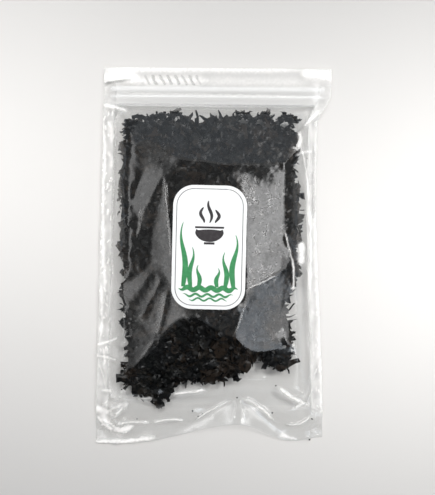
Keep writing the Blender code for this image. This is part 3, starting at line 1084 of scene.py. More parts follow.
    def from_slopes(self, base: Array, slope_x: Array, slope_y: Array, trust: Array) -> Array:
        """The heights whose slopes fit best, while they stay near a base, by conjugate gradients.

        Args:
            base: Heights that the result stays near.
            slope_x: The wanted slope across at each point.
            slope_y: The wanted slope along at each point.
            trust: How closely the slopes are met at each point, 0 to 1.

        Returns:
            The fitted heights.
        """
        hold = 1.0 / self.panel_hold**2
        trust_x = (trust[:, 1:] + trust[:, :-1]) / 2.0
        trust_y = (trust[1:] + trust[:-1]) / 2.0

        def spread(across: Array, along: Array) -> Array:
            """Sums the flow out of each point, over the links to its neighbours.

            Args:
                across: Flow over each link across.
                along: Flow over each link along.

            Returns:
                The sum for each point.
            """
            total = np.zeros(base.shape)
            total[:, :-1] += across * trust_x
            total[:, 1:] -= across * trust_x
            total[:-1] += along * trust_y
            total[1:] -= along * trust_y
            return total / self.step

        def applied(heights: Array) -> Array:
            """The left side of the equations for given heights."""
            slopes = np.diff(heights, axis=1) / self.step, np.diff(heights, axis=0) / self.step
            return hold * heights - spread(*slopes)

        across = (slope_x[:, 1:] + slope_x[:, :-1]) / 2.0
        along = (slope_y[1:] + slope_y[:-1]) / 2.0
        heights = base.copy()
        residual = hold * base - spread(across, along) - applied(heights)
        mended = self.relaxed(residual, hold)
        direction, size = mended, np.sum(residual * mended)
        for _ in range(self.solver_steps):
            image = applied(direction)
            share = size / np.sum(direction * image)
            heights = heights + share * direction
            residual = residual - share * image
            mended = self.relaxed(residual, hold)
            last, size = size, np.sum(residual * mended)
            direction = mended + size / last * direction
        return heights

    def shared_relief(self) -> Array:
        """Relief of both films where they lie together: the seals, the header and the flap.

        Returns:
            Heights on the grid.
        """
        end = self.outline.chamber_end
        header, flap = past(self.flat_y, end, 2.0 * MM), past(-self.flat_y, end, 6.0 * MM)
        above_zip = past(self.flat_y, self.zip_top, 2.0 * MM)
        relief = self.seal_crumple.relief(self.x, self.y) * self.welded * (1.0 - above_zip)
        relief += self.flap_crumple.relief(self.x, self.y) * flap * (1.0 - self.welded)
        corner_x, corner_y = self.crushed_corner
        crushed = past(-self.x, -corner_x, 8.0 * MM) * past(-self.y, -corner_y, 5.0 * MM)
        relief += self.corner_crumple.relief(self.x, self.y) * crushed
        relief += self.header_crumple.relief(self.x, self.y) * above_zip
        outward = np.abs(self.flat_x) - self.outline.chamber_side
        relief -= self.seal_slope * np.maximum(outward, 0.0) * (1.0 - above_zip)
        drop = self.header_drop * past(self.flat_y, end, self.outline.end_length)
        relief += header * (drop - self.header_slope * (self.flat_y - end))
        curled = past(-self.x, -self.curled_from, 6.0 * MM) * self.edge_slope
        relief += curled * np.maximum(-self.outline.half_length + self.curled_width - self.flat_y, 0.0)
        return relief + self.header_ripples(above_zip)

    def header_ripples(self, above_zip: Array) -> Array:
        """Small waves in the loose header above the zip, strongest at its left.

        Args:
            above_zip: 1 above the zip and 0 below it.

        Returns:
            Heights on the grid.
        """
        start, end = self.ripple_span
        left = past(self.x, start, 8.0 * MM) * past(-self.x, -end, 8.0 * MM)
        low = past(-self.flat_y, -127.0 * MM, 3.0 * MM)
        bent = self.x + 0.5 * self.flat_y + 1.2 * MM * noise_at(self.x, self.y, 7.0 * MM, 8.0)
        waves = np.sin(2.0 * np.pi * bent / self.ripple_pitch) * self.ripple_height
        return above_zip * waves * left * low

    def whitened(self) -> Array:
        """How white the upper film is: hazy on its seals, header and flap, with painted highlights along
        its creases and in small glints, painted darker lines where a gleam falls below 0, and a painted
        shade on the crests of the header's ripples.

        Returns:
            Shares on the grid, 0 to 1.
        """
        above_zip = past(self.flat_y, self.zip_top, 2.0 * MM)
        cloud = noise_at(self.x, self.y * 0.4, 4.0 * MM, 41.0)
        end = self.outline.chamber_end
        plain = 1.0 - 0.7 * past(-self.flat_y, end, 14.0 * MM)
        shares = self.welded * (1.0 - above_zip) * (self.seal_haze + 0.22 * cloud) * plain
        shares = np.maximum(shares, past(self.flat_y, end, 1.5 * MM) * self.header_haze)
        shares = np.maximum(shares, past(-self.flat_y, end, 4.0 * MM) * self.flap_haze)
        # painted shade: the crests of the header's ripples are kept clearer, so they show darker
        shares -= np.maximum(self.header_ripples(above_zip) / self.ripple_height - 0.1, 0.0) * 0.6
        # painted highlights: the gleams and glints add white lines along the creases and in small spots
        lines = np.zeros(shares.shape)
        bent_x = self.x + 0.6 * MM * noise_at(self.x, self.y, 4.5 * MM, 42.0)
        bent_y = self.y + 0.6 * MM * noise_at(self.x, self.y, 4.5 * MM, 43.0)
        for gleam in (*GLEAMS, *self.glints()):
            gleam.add_to(lines, bent_x, bent_y)
        lines *= 0.85 + 0.35 * noise_at(self.x, self.y, 1.6 * MM, 44.0)
        return np.clip(shares + lines, 0.0, 1.0)

    def glints(self) -> list[Gleam]:
        """Small painted glints, short white marks on the film over its panels and seals, drawn with a fixed
        seed.

        Returns:
            One gleam for each glint.
        """
        draw = np.random.default_rng(17)
        made = []
        for low_x, high_x, low_y, high_y, lean, level, count in self.glint_groups:
            for _ in range(count):
                start = np.array([draw.uniform(low_x, high_x), draw.uniform(low_y, high_y)])
                turn = math.radians(draw.normal(lean, self.glint_spread))
                run = draw.uniform(1.2, 4.5) * np.array([math.cos(turn), math.sin(turn)])
                bow = run / 2.0 + (run[1] * 0.15, -run[0] * 0.15)
                points = tuple(start), tuple(start + bow), tuple(start + run)
                made.append(Gleam(points, self.glint_width, level * draw.uniform(0.3, 1.3)))
        return made

    def puckers(self) -> list[Fold]:
        """Short creases that run in from the two side seals, drawn with a fixed seed.

        Returns:
            One fold for each pucker.
        """
        draw = np.random.default_rng(7)
        made = []
        for side in (-1.0, 1.0):
            for _ in range(self.pucker_count):
                start = np.array([side * (self.outline.chamber_side / MM + draw.uniform(-1.0, 3.0)), 0.0])
                start[1] = draw.uniform(-103.0, 103.0)
                run = draw.uniform(5.0, 15.0)
                lean = draw.normal(0.0, 0.4) * run
                points = np.array([start, start, start])
                points[1] += (-side * run * 0.5, lean * 0.5 + draw.normal(0.0, 1.0))
                points[2] += (-side * run, lean)
                x, y = self.outline.pulled(points[:, 0] * MM, points[:, 1] * MM)
                places = tuple(zip((x / MM).tolist(), (y / MM).tolist()))
                height = draw.uniform(0.2, 0.8) * (1.0 if draw.random() < 0.7 else -1.0)
                made.append(Fold(places, height, draw.uniform(0.5, 1.4)))
        return made

    def wrinkles(self) -> Array:
        """Relief of the upper film alone: its folds, and the flakes that press it.

        Returns:
            Heights on the grid.
        """
        relief = np.zeros(self.x.shape)
        for fold in (*FOLDS, *self.puckers()):
            fold.add_to(relief, self.x, self.y)
        pressed = self.inner_share(10.0 * MM)
        for number, (height, size) in enumerate(self.lump_heights):
            relief += height * noise_at(self.x, self.y, size, 3.0 + number) * pressed
        relief += self.wall_crumple.relief(self.x, self.y) * self.at_walls()
        for x, y, reach, height in self.pockets:
            away = np.hypot(self.x - x * MM, self.y - y * MM) / (reach * MM)
            relief += height * MM * smoothstep(1.0 - away)
        return relief

    def at_walls(self) -> Array:
        """1 on the two side walls of the filled part, 0 on its top and on the seals.

        Returns:
            Shares on the grid.
        """
        beside = self.outline.chamber_side - np.abs(self.flat_x)
        along = self.outline.chamber_end - np.abs(self.flat_y)
        across = past(beside, 0.0, 1.5 * MM) * past(-beside, -17.0 * MM, 6.0 * MM)
        return across * past(along, -3.0 * MM, 3.0 * MM)

    def at(self, heights: Array, x: Array, y: Array) -> Array:
        """Heights between grid points.

        Args:
            heights: Heights on the grid.
            x: Real places across.
            y: Real places along.

        Returns:
            One height for each place.
        """
        flat_x, flat_y = self.outline.flat(x, y)
        column = (flat_x + self.outline.half_width) / (2.0 * self.outline.half_width) * self.columns
        row = (flat_y + self.outline.half_length) / (2.0 * self.outline.half_length) * self.rows
        column, row = np.clip(column, 0.0, self.columns - 1e-6), np.clip(row, 0.0, self.rows - 1e-6)
        left, below = column.astype(int), row.astype(int)
        share_x, share_y = column - left, row - below
        lower = heights[below, left] * (1 - share_x) + heights[below, left + 1] * share_x
        upper = heights[below + 1, left] * (1 - share_x) + heights[below + 1, left + 1] * share_x
        return lower * (1 - share_y) + upper * share_y

    def front_at(self, x: Array, y: Array) -> Array:
        """The upper film's heights."""
        return self.at(self.front, np.asarray(x), np.asarray(y))

    def back_at(self, x: Array, y: Array) -> Array:
        """The lower film's heights."""
        return self.at(self.back, np.asarray(x), np.asarray(y))


class FilmSide(Enum):
    """The two films of the pouch."""

    UPPER = "upper"
    LOWER = "lower"


@dataclass
class PouchFilm:
    """The pouch itself: an upper and a lower film, welded round the edge, and its zip.

    Each bead of the zip has its place along the pouch, its width and its height, in mm, and the
    tape its two ends along the pouch.
    """

    form: FilmForm
    finish: ClearFilm = ClearFilm("clear_film")
    back_share: int = 4
    bead_rows: tuple[tuple[float, float, float], ...] = ((116.2, 3.2, 1.1), (110.7, 2.0, 1.0))
    tape_rows: Pair = (104.0, 118.0)
    tape_height: float = 0.25
    tape_cloud: float = 0.16
    bead_cloud: float = 0.80
    strip_sides: int = 16
    strip_cells: int = 24
    weld_overlap: float = 4.0 * MM

    def sheet(self, bm: BMesh, side: FilmSide, share: int) -> None:
        """Adds one film to a bmesh.

        Args:
            bm: The bmesh.
            side: Which film.
            share: Every share-th line of the form's grid is used.
        """
        rows, columns = self.form.rows // share, self.form.columns // share
        upper = side is FilmSide.UPPER
        heights = self.form.front if upper else self.form.back
        white = bm.verts.layers.float["white"]
        made = bmesh.ops.create_grid(bm, x_segments=columns, y_segments=rows, size=1.0)
        for vert in made["verts"]:
            column = round((vert.co.x + 1.0) / 2.0 * columns) * share
            row = round((vert.co.y + 1.0) / 2.0 * rows) * share
            vert[white] = self.form.white[row, column] if upper else 0.0
            vert.co = Vector((self.form.x[row, column], self.form.y[row, column], heights[row, column]))

    def build_film(self) -> Object:
        """Both films as one closed shell.

        Returns:
            The new piece.
        """
        bm = bmesh.new()
        bm.verts.layers.float.new("white")
        self.sheet(bm, FilmSide.UPPER, 1)
        self.sheet(bm, FilmSide.LOWER, self.back_share)
        bmesh.ops.bridge_loops(bm, edges=[edge for edge in bm.edges if edge.is_boundary])
        bmesh.ops.recalc_face_normals(bm, faces=bm.faces)
        film = place_object("pouch_film", bm, self.finish.material())
        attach(film, "root")
        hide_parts("pouch")
        return film

    def strip(self, name: str, row: float, width: float, height: float, finish: MilkyPlastic) -> Object:
        """One straight part of the zip, between the films.

        Args:
            name: The piece's name.
            row: The place of its middle along the pouch, in mm.
            width: Its width in mm.
            height: Its height in mm.
            finish: Its plastic.

        Returns:
            The new piece.
        """
        bm = bmesh.new()
        turned = Matrix.Rotation(math.radians(90.0), 4, "Y")
        bmesh.ops.create_cone(
            bm, cap_ends=True, segments=self.strip_sides, radius1=0.5, radius2=0.5, depth=1.0, matrix=turned
        )
        lengthwise = [edge for edge in bm.edges if abs(edge.verts[0].co.x - edge.verts[1].co.x) > 0.5]
        bmesh.ops.subdivide_edges(bm, edges=lengthwise, cuts=self.strip_cells - 1)
        half = self.form.outline.chamber_side + self.weld_overlap
        for vert in bm.verts:
            flat = vert.co.x * 2.0 * half, (row + vert.co.y * width) * MM
            x, y = self.form.outline.pulled(*flat)
            middle = self.form.outline.pulled(flat[0], row * MM)
            level = (self.form.front_at(*middle) + self.form.back_at(*middle)) / 2.0
            vert.co = Vector((float(x), float(y), float(level) + vert.co.z * height * MM))
        made = place_object(name, bm, finish.material())
        made.data.set_sharp_from_angle(angle=math.radians(60.0))
        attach(made, "root")
        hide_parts("pouch")
        return made

    def build_zip(self) -> list[Object]:
        """The zip's flat tape and its two beads.

        Returns:
            The new pieces.
        """
        low, high = self.tape_rows
        finish = MilkyPlastic("zip_tape_plastic", self.tape_cloud)
        made = [self.strip("zip_tape", (low + high) / 2.0, high - low, self.tape_height, finish)]
        for name, row in zip(("zip_bead_wide", "zip_bead_narrow"), self.bead_rows):
            made.append(self.strip(name, *row, MilkyPlastic(f"{name}_plastic", self.bead_cloud)))
        return made


# ---- the flakes


@dataclass(frozen=True)
class FlakeKind:
    """One kind of cut seaweed: its size range in mm, how it is cut and how it is bent."""

    name: str
    count: int
    length: Pair
    width: Pair
    cells: tuple[int, int]
    cuts: int
    bend: float
    twist: float
    crumple: float
    ragged: float
    upright: float
    thickness: float = 0.22
    variants: int = 32

    def template(self, draw: Draw) -> tuple[Array, Array]:
        """One bent flake with cut corners, as a thin closed shell about the origin.

        Args:
            draw: The source of random numbers.

        Returns:
            Its points in metres and its triangles as point numbers.
        """
        bm = bmesh.new()
        along, across = self.cells
        bmesh.ops.create_grid(bm, x_segments=along, y_segments=across, size=0.5)
        for _ in range(self.cuts):
            angle = draw.uniform(0.0, 2.0 * math.pi)
            outward = Vector((math.cos(angle), math.sin(angle), 0.0))
            bmesh.ops.bisect_plane(
                bm,
                geom=bm.verts[:] + bm.edges[:] + bm.faces[:],
                dist=0.01,
                plane_co=outward * draw.uniform(0.10, 0.42),
                plane_no=outward,
                clear_outer=True,
            )
        length, width = draw.uniform(*self.length), draw.uniform(*self.width)
        bend = draw.normal(0.0, self.bend)
        curl = draw.normal(0.0, self.bend * 0.5)
        twist = draw.normal(0.0, self.twist)
        for vert in bm.verts:
            share, side = vert.co.x, vert.co.y
            edge = 1.0 if vert.is_boundary else 0.3
            x = length * (share + draw.normal(0.0, self.ragged) * edge / along)
            y = width * (side + draw.normal(0.0, self.ragged) * edge)
            z = draw.normal(0.0, self.crumple)
            angle = bend * share
            if abs(bend) > 0.05:
                radius = length / bend
                x, z = (radius - z) * math.sin(angle), radius - (radius - z) * math.cos(angle)
            z += y * y / max(width, 0.1) * curl * 0.5
            turn = twist * share
            y, z = y * math.cos(turn) - z * math.sin(turn), y * math.sin(turn) + z * math.cos(turn)
            vert.co = Vector((x, y, z)) * MM
        bmesh.ops.solidify(bm, geom=bm.faces[:], thickness=self.thickness * MM)
        bmesh.ops.triangulate(bm, faces=bm.faces)
        bmesh.ops.recalc_face_normals(bm, faces=bm.faces)
        bm.verts.index_update()
        points = np.array([vert.co for vert in bm.verts])
        faces = np.array([[vert.index for vert in face.verts] for face in bm.faces])
        bm.free()
        return points - points.mean(axis=0), faces


# Each kind's name, count, length, width, cells, cuts, bend, twist, crumple, raggedness and the
# share of flakes that stand up.
KINDS = (
    FlakeKind("wakame_strips", 2300, (6.5, 13.0), (2.8, 5.8), (4, 1), 1, 0.9, 0.8, 0.25, 0.10, 0.25),
    FlakeKind("wakame_leaves", 2000, (7.0, 12.5), (5.0, 9.0), (4, 2), 3, 1.3, 0.8, 0.55, 0.14, 0.15),
    FlakeKind("wakame_curls", 1500, (8.5, 16.0), (1.8, 3.6), (7, 1), 1, 3.2, 1.1, 0.15, 0.12, 0.45),
    FlakeKind("wakame_stalks", 900, (4.0, 10.0), (0.8, 1.6), (4, 1), 0, 1.2, 2.0, 0.15, 0.12, 0.15, 0.6),
    FlakeKind("wakame_scraps", 1300, (2.6, 5.0), (2.0, 4.0), (2, 1), 2, 0.7, 0.6, 0.20, 0.16, 0.20),
)


@dataclass(frozen=True)
class HeapOutline:
    """The uneven edge of the heap as it shows through the film, in mm.

    Left and right are given as y and x, top and bottom as x and y. Each gap is a small free place:
    its middle, half width and half height, as they show on the table from seen_from metres up.
    """

    left: tuple[Point, ...] = (
        (-101, -58), (-84, -62), (-68, -59.5), (-60, -58), (-44, -61), (-28, -65.5), (-20, -62), (-4, -64),
        (12, -66), (28, -66), (44, -67), (60, -65.5), (84, -67), (96, -66),
    )
    right: tuple[Point, ...] = (
        (-90, 55), (-82, 57), (-66, 55), (-58, 56.5), (-50, 57), (-42, 54), (-32, 53), (-26, 55), (-20, 59),
        (-10, 60), (-2, 58), (14, 61.5), (30, 60), (46, 60.5), (62, 55.5), (78, 57.5), (86, 56), (98, 50),
    )
    top: tuple[Point, ...] = (
        (-68, 94), (-52, 95.5), (-34, 96.5), (-22, 94), (-4, 93), (2, 97), (26, 95), (38, 94), (50, 93),
        (56, 88), (62, 82),
    )
    bottom: tuple[Point, ...] = (
        (-66, -90), (-58, -100), (-45, -101), (-41, -106.5), (-33, -107.5), (-30, -100), (-22, -92),
        (-10, -90), (8, -89), (19, -87), (24, -77), (30, -73), (37, -76), (43, -75), (48, -81), (56, -81),
        (62, -78),
    )
    gaps: tuple[tuple[float, float, float, float], ...] = (
        (18.6, 94.6, 2.2, 0.9), (30.0, 94.4, 1.6, 0.9), (33.4, 93.9, 1.4, 0.9), (46.8, 92.6, 1.4, 0.8),
        (49.4, 93.5, 1.4, 0.9), (-29.0, 95.0, 1.0, 0.7), (44.0, -68.0, 1.2, 0.8), (51.5, -64.0, 0.9, 0.8),
    )
    round_gap: int = 14
    seen_from: float = 0.62
    corner: float = 5.0 * MM
    wobble: float = 1.6 * MM
    slim: float = 4.0

    @staticmethod
    def edge(points: tuple[Point, ...], place: Array) -> Array:
        """The edge's distance from the middle line at each place, in metres."""
        ends = np.array(points) * MM
        return np.interp(place, ends[:, 0], ends[:, 1])

    def around_gaps(self, kind: FlakeKind, draw: Draw) -> tuple[Array, Array]:
        """Places close round the gaps, where more of the slim flakes go.

        Args:
            kind: The kind of flake.
            draw: The source of random numbers.

        Returns:
            Places across and along, none for a wide kind.
        """
        if max(kind.width) > self.slim:
            return np.zeros(0), np.zeros(0)
        x, y, wide, high = (np.repeat(values, self.round_gap) for values in np.array(self.gaps).T)
        turn = draw.uniform(0.0, 2.0 * np.pi, len(x))
        away = draw.uniform(0.8, 3.6, len(x))
        return (x + (wide + away) * np.cos(turn)) * MM, (y + (high + away) * np.sin(turn)) * MM

    def clear_of_gaps(self, points: Array) -> Array:
        """Which flakes leave the gaps free as seen from above.

        Args:
            points: Points of each flake.

        Returns:
            A mask of the flakes.
        """
        clear = np.ones(len(points), bool)
        spread = (1.0 + points[..., 2] / self.seen_from) / MM
        for x, y, wide, high in self.gaps:
            away = np.hypot((points[..., 0] * spread - x) / wide, (points[..., 1] * spread - y) / high)
            clear &= away.min(axis=1) > 1.0
        return clear

    def depth(self, x: Array, y: Array) -> Array:
        """Distance in from the heap's edge, negative outside it.

        Args:
            x: Places across.
            y: Places along.

        Returns:
            One distance for each place.
        """
        beside = np.minimum(x - self.edge(self.left, y), self.edge(self.right, y) - x)
        along = np.minimum(self.edge(self.top, x) - y, y - self.edge(self.bottom, x))
        rounded = np.hypot(np.maximum(self.corner - beside, 0.0), np.maximum(self.corner - along, 0.0))
        nearest = np.minimum(beside, along)
        inside = np.where(nearest < self.corner, self.corner - rounded, nearest)
        inside = np.where(nearest < 0.0, nearest, inside)
        lumps = noise_at(x, y, 7.0 * MM, 21.0) + 0.5 * noise_at(x, y, 3.0 * MM, 22.0)
        return inside + self.wobble * lumps


@dataclass
class FlakeHeap:
    """The flakes that fill the pouch, laid round a dark core."""

    form: FilmForm
    outline: HeapOutline = HeapOutline()
    clearance: float = 0.3 * MM
    rim: float = 9.0 * MM
    core_inset: float = 10.5 * MM
    core_depth: float = 5.0 * MM
    core_cells: tuple[int, int] = (84, 120)
    core_reach: float = 96.0 * MM
    least_tip: float = 0.30
    strewn_x: Pair = (-70.0, 66.0)
    strewn_y: Pair = (-109.0, 102.0)
    cover: float = 2.6 * MM
    top_share: float = 0.74
    rim_share: float = 0.6
    core_tone: float = 0.3

    def places(self, kind: FlakeKind, draw: Draw) -> tuple[Array, ...]:
        """Random places for one kind of flake: most lie just under the films, fewer at the rim.

        Args:
            kind: The kind of flake.
            draw: The source of random numbers.

        Returns:
            Places across, along and up, and how flat each flake lies, 0 to 1.
        """
        tries = kind.count * 3
        x, y = draw.uniform(*self.strewn_x, tries) * MM, draw.uniform(*self.strewn_y, tries) * MM
        depth = self.outline.depth(x, y)
        keep = draw.random(tries) < np.clip(0.10 + 0.75 * depth / self.rim, 0.0, 0.85)
        keep &= depth > 0.0
        kept = np.flatnonzero(keep)[: kind.count]
        around_x, around_y = self.outline.around_gaps(kind, draw)
        x, y = np.concatenate([x[kept], around_x]), np.concatenate([y[kept], around_y])
        depth = self.outline.depth(x, y)
        count = len(x)
        front, back = self.form.front_at(x, y), self.form.back_at(x, y)
        under = draw.exponential(self.cover, count) + 0.4 * MM
        on_top = draw.random(count) < self.top_share
        z = np.where(on_top, front - under, back + under)
        between = back + (front - back) * draw.uniform(0.1, 0.95, count)
        z = np.where((depth < self.rim) & (draw.random(count) < self.rim_share), between, z)
        flat = np.exp(-np.minimum(np.abs(front - z), np.abs(z - back)) / (3.0 * MM))
        return x, y, z, flat

    @staticmethod
    def turns(normals: Array, spin: Array, tip: Array, way: Array) -> Array:
        """Rotation matrices that lay flakes on given normals, spun and then tipped.

        Args:
            normals: One unit normal for each flake.
            spin: Turn about the normal, in radians.
            tip: How far each flake is tipped over, in radians.
            way: The direction in which it is tipped, in radians.

        Returns:
            One 3 by 3 matrix for each flake.
        """
        sideways = np.stack([np.cos(way), np.sin(way), np.zeros(len(way))], axis=1)
        tipped = normals + np.tan(np.clip(tip, -1.45, 1.45))[:, None] * sideways
        tipped /= np.linalg.norm(tipped, axis=1)[:, None]
        heading = np.stack([np.cos(spin), np.sin(spin), np.full(len(spin), 0.01)], axis=1)
        side = np.cross(tipped, heading)
        side /= np.linalg.norm(side, axis=1)[:, None]
        ahead = np.cross(side, tipped)
        return np.stack([ahead, side, tipped], axis=2)

    def build_kind(self, kind: FlakeKind, seed: int) -> Object:
        """All flakes of one kind as one joined mesh.

        Args:
            kind: The kind of flake.
            seed: Seed of its random draws.

        Returns:
            The new piece.
        """
        draw = np.random.default_rng(seed)
        x, y, z, flat = self.places(kind, draw)
        count = len(x)
        small = 1.0 * MM
        slope_x = (self.form.front_at(x + small, y) - self.form.front_at(x - small, y)) / (2 * small)
        slope_y = (self.form.front_at(x, y + small) - self.form.front_at(x, y - small)) / (2 * small)
        normals = np.stack([-slope_x * flat, -slope_y * flat, np.ones(count)], axis=1)
        normals /= np.linalg.norm(normals, axis=1)[:, None]
        tip = draw.normal(0.0, 1.0, count) * (self.least_tip + (1.0 - flat) * 0.6)
        stands = draw.random(count) < kind.upright * (1.1 - flat)
        tip = np.where(stands, draw.uniform(1.0, 1.5, count), tip)
        spin, way = draw.uniform(0, 2 * np.pi, count), draw.uniform(0, 2 * np.pi, count)
        turns = self.turns(normals, spin, tip, way)
        centres = np.stack([x, y, z], axis=1)
        size = draw.uniform(0.85, 1.15, count)
        chosen = draw.integers(0, kind.variants, count)
        parts = []
        for number in range(kind.variants):
            points, faces = kind.template(draw)
            members = np.flatnonzero(chosen == number)
            copies = np.einsum("nij,vj->nvi", turns[members], points) * size[members, None, None]
            copies = self.fitted(copies + centres[members, None, :])
            corners, others = copies[:, faces], copies[:, np.roll(faces, 1, axis=1)]
            sides = (corners + others).reshape(len(copies), -1, 3) / 2.0
            tested = np.concatenate([copies, corners.mean(axis=2), sides], axis=1)
            clear = self.outline.clear_of_gaps(tested)
            parts.append((copies[clear], faces))
        made = self.joined(kind.name, parts, draw)
        LOG.info("%s: %d flakes", kind.name, sum(len(copies) for copies, _ in parts))
        return made

    def fitted(self, points: Array) -> Array:
        """Moves flakes up or down until they lie between the films, and drops the rest.

        Args:
            points: Points of each flake.

        Returns:
            The points of the flakes that fit.
        """
        x, y = points[..., 0], points[..., 1]
        front = self.form.front_at(x, y) - self.clearance
        back = np.maximum(self.form.back_at(x, y), 0.0) + self.clearance
        for _ in range(2):
            points[..., 2] -= np.maximum((points[..., 2] - front).max(axis=1), 0.0)[:, None]
            points[..., 2] += np.maximum((back - points[..., 2]).max(axis=1), 0.0)[:, None]
        over = (points[..., 2] - front).max(axis=1)
        flat_x, _ = self.form.outline.flat(x, y)
        inside = np.abs(flat_x).max(axis=1) < self.form.outline.chamber_side
        return points[(over <= self.clearance * 0.5) & inside]

    @staticmethod
    def joined(name: str, parts: list[tuple[Array, Array]], draw: Draw) -> Object:
        """One mesh of many flakes.

        Args:
            name: The piece's name.
            parts: Points of each copy and the shared triangles, for each shape of flake.
            draw: The source of each flake's tone.

        Returns:
            The new object, smooth shaded.
        """
        places, corners, tones, used = [], [], [], 0
        for copies, faces in parts:
            count, size, _ = copies.shape
            offsets = used + np.arange(count)[:, None, None] * size
            places.append(copies.reshape(-1, 3))
            corners.append((faces + offsets).reshape(-1))
            tones.append(np.repeat(draw.random(count), size))
            used += count * size
        loops = np.concatenate(corners)
        mesh = bpy.data.meshes.new(name)
        mesh.vertices.add(used)
        mesh.vertices.foreach_set("co", np.concatenate(places).astype(np.float32).ravel())
        mesh.loops.add(len(loops))
        mesh.loops.foreach_set("vertex_index", loops.astype(np.int32))
        mesh.polygons.add(len(loops) // 3)
        mesh.polygons.foreach_set("loop_start", np.arange(0, len(loops), 3, dtype=np.int32))
        mesh.update(calc_edges=True)
        mesh.validate()
        tone = mesh.attributes.new("tone", "FLOAT", "POINT")
        tone.data.foreach_set("value", np.concatenate(tones).astype(np.float32))
        mesh.shade_smooth()
        mesh.set_sharp_from_angle(angle=math.radians(45.0))
        made = bpy.data.objects.new(name, mesh)
        bpy.context.scene.collection.objects.link(made)
        return made

    def build_core(self, finish: Material) -> Object:
        """The dark mass inside the heap, below the flakes that show.

        Args:
            finish: The flakes' material.

        Returns:
            The new piece.
        """
        outline, inset = self.outline, self.core_inset
        columns, rows = self.core_cells
        bm = bmesh.new()
        for upper in (True, False):
            made = bmesh.ops.create_grid(bm, x_segments=columns, y_segments=rows, size=1.0)
            flat = np.array([vert.co for vert in made["verts"]])
            across = flat[:, 0] * (1.0 - 0.06 * flat[:, 1] ** 4)
            along = flat[:, 1] * (1.0 - 0.04 * flat[:, 0] ** 4)
            y = along * self.core_reach
            low_x, high_x = outline.edge(outline.left, y) + inset, outline.edge(outline.right, y) - inset
            x = low_x + (across + 1.0) / 2.0 * (high_x - low_x)
            low_y, high_y = outline.edge(outline.bottom, x) + inset, outline.edge(outline.top, x) - inset
            y = low_y + (along + 1.0) / 2.0 * (high_y - low_y)
            front, back = self.form.front_at(x, y), self.form.back_at(x, y)
            rough = 1.4 * MM * noise_at(x, y, 4.0 * MM, 31.0 + upper)
            rough += 0.5 * MM * noise_at(x, y, 1.6 * MM, 33.0)
            low_z = np.maximum(back, 0.0) + 2.0 * MM + np.abs(rough)
            high_z = np.maximum(front - self.core_depth - np.abs(rough), low_z + 0.4 * MM)
            edge = 1.0 - np.abs(flat[:, :2]).max(axis=1)
            bulge = np.sqrt(smoothstep(edge / 0.12))
            centre = (low_z + high_z) / 2.0
            z = centre + ((high_z if upper else low_z) - centre) * np.maximum(bulge, 0.02)
            for vert, place in zip(made["verts"], zip(x, y, z)):
                vert.co = Vector(place)
        bmesh.ops.bridge_loops(bm, edges=[edge for edge in bm.edges if edge.is_boundary])
        bmesh.ops.recalc_face_normals(bm, faces=bm.faces)
        core = place_object("wakame_core", bm, finish)
        tone = core.data.attributes.new("tone", "FLOAT", "POINT")
        tone.data.foreach_set("value", np.full(len(core.data.vertices), self.core_tone, np.float32))
        return core

    def build(self) -> list[Object]:
        """The core and every kind of flake.

        Returns:
            The new pieces.
        """
        finish = DriedSeaweed("dried_wakame").material()
        made = [self.build_core(finish)]
        for seed, kind in enumerate(KINDS, start=101):
            piece = self.build_kind(kind, seed)
            piece.data.materials.append(finish)
            made.append(piece)
        for piece in made:
            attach(piece, "root")
            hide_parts("pouch")
        return made


# ---- the sticker


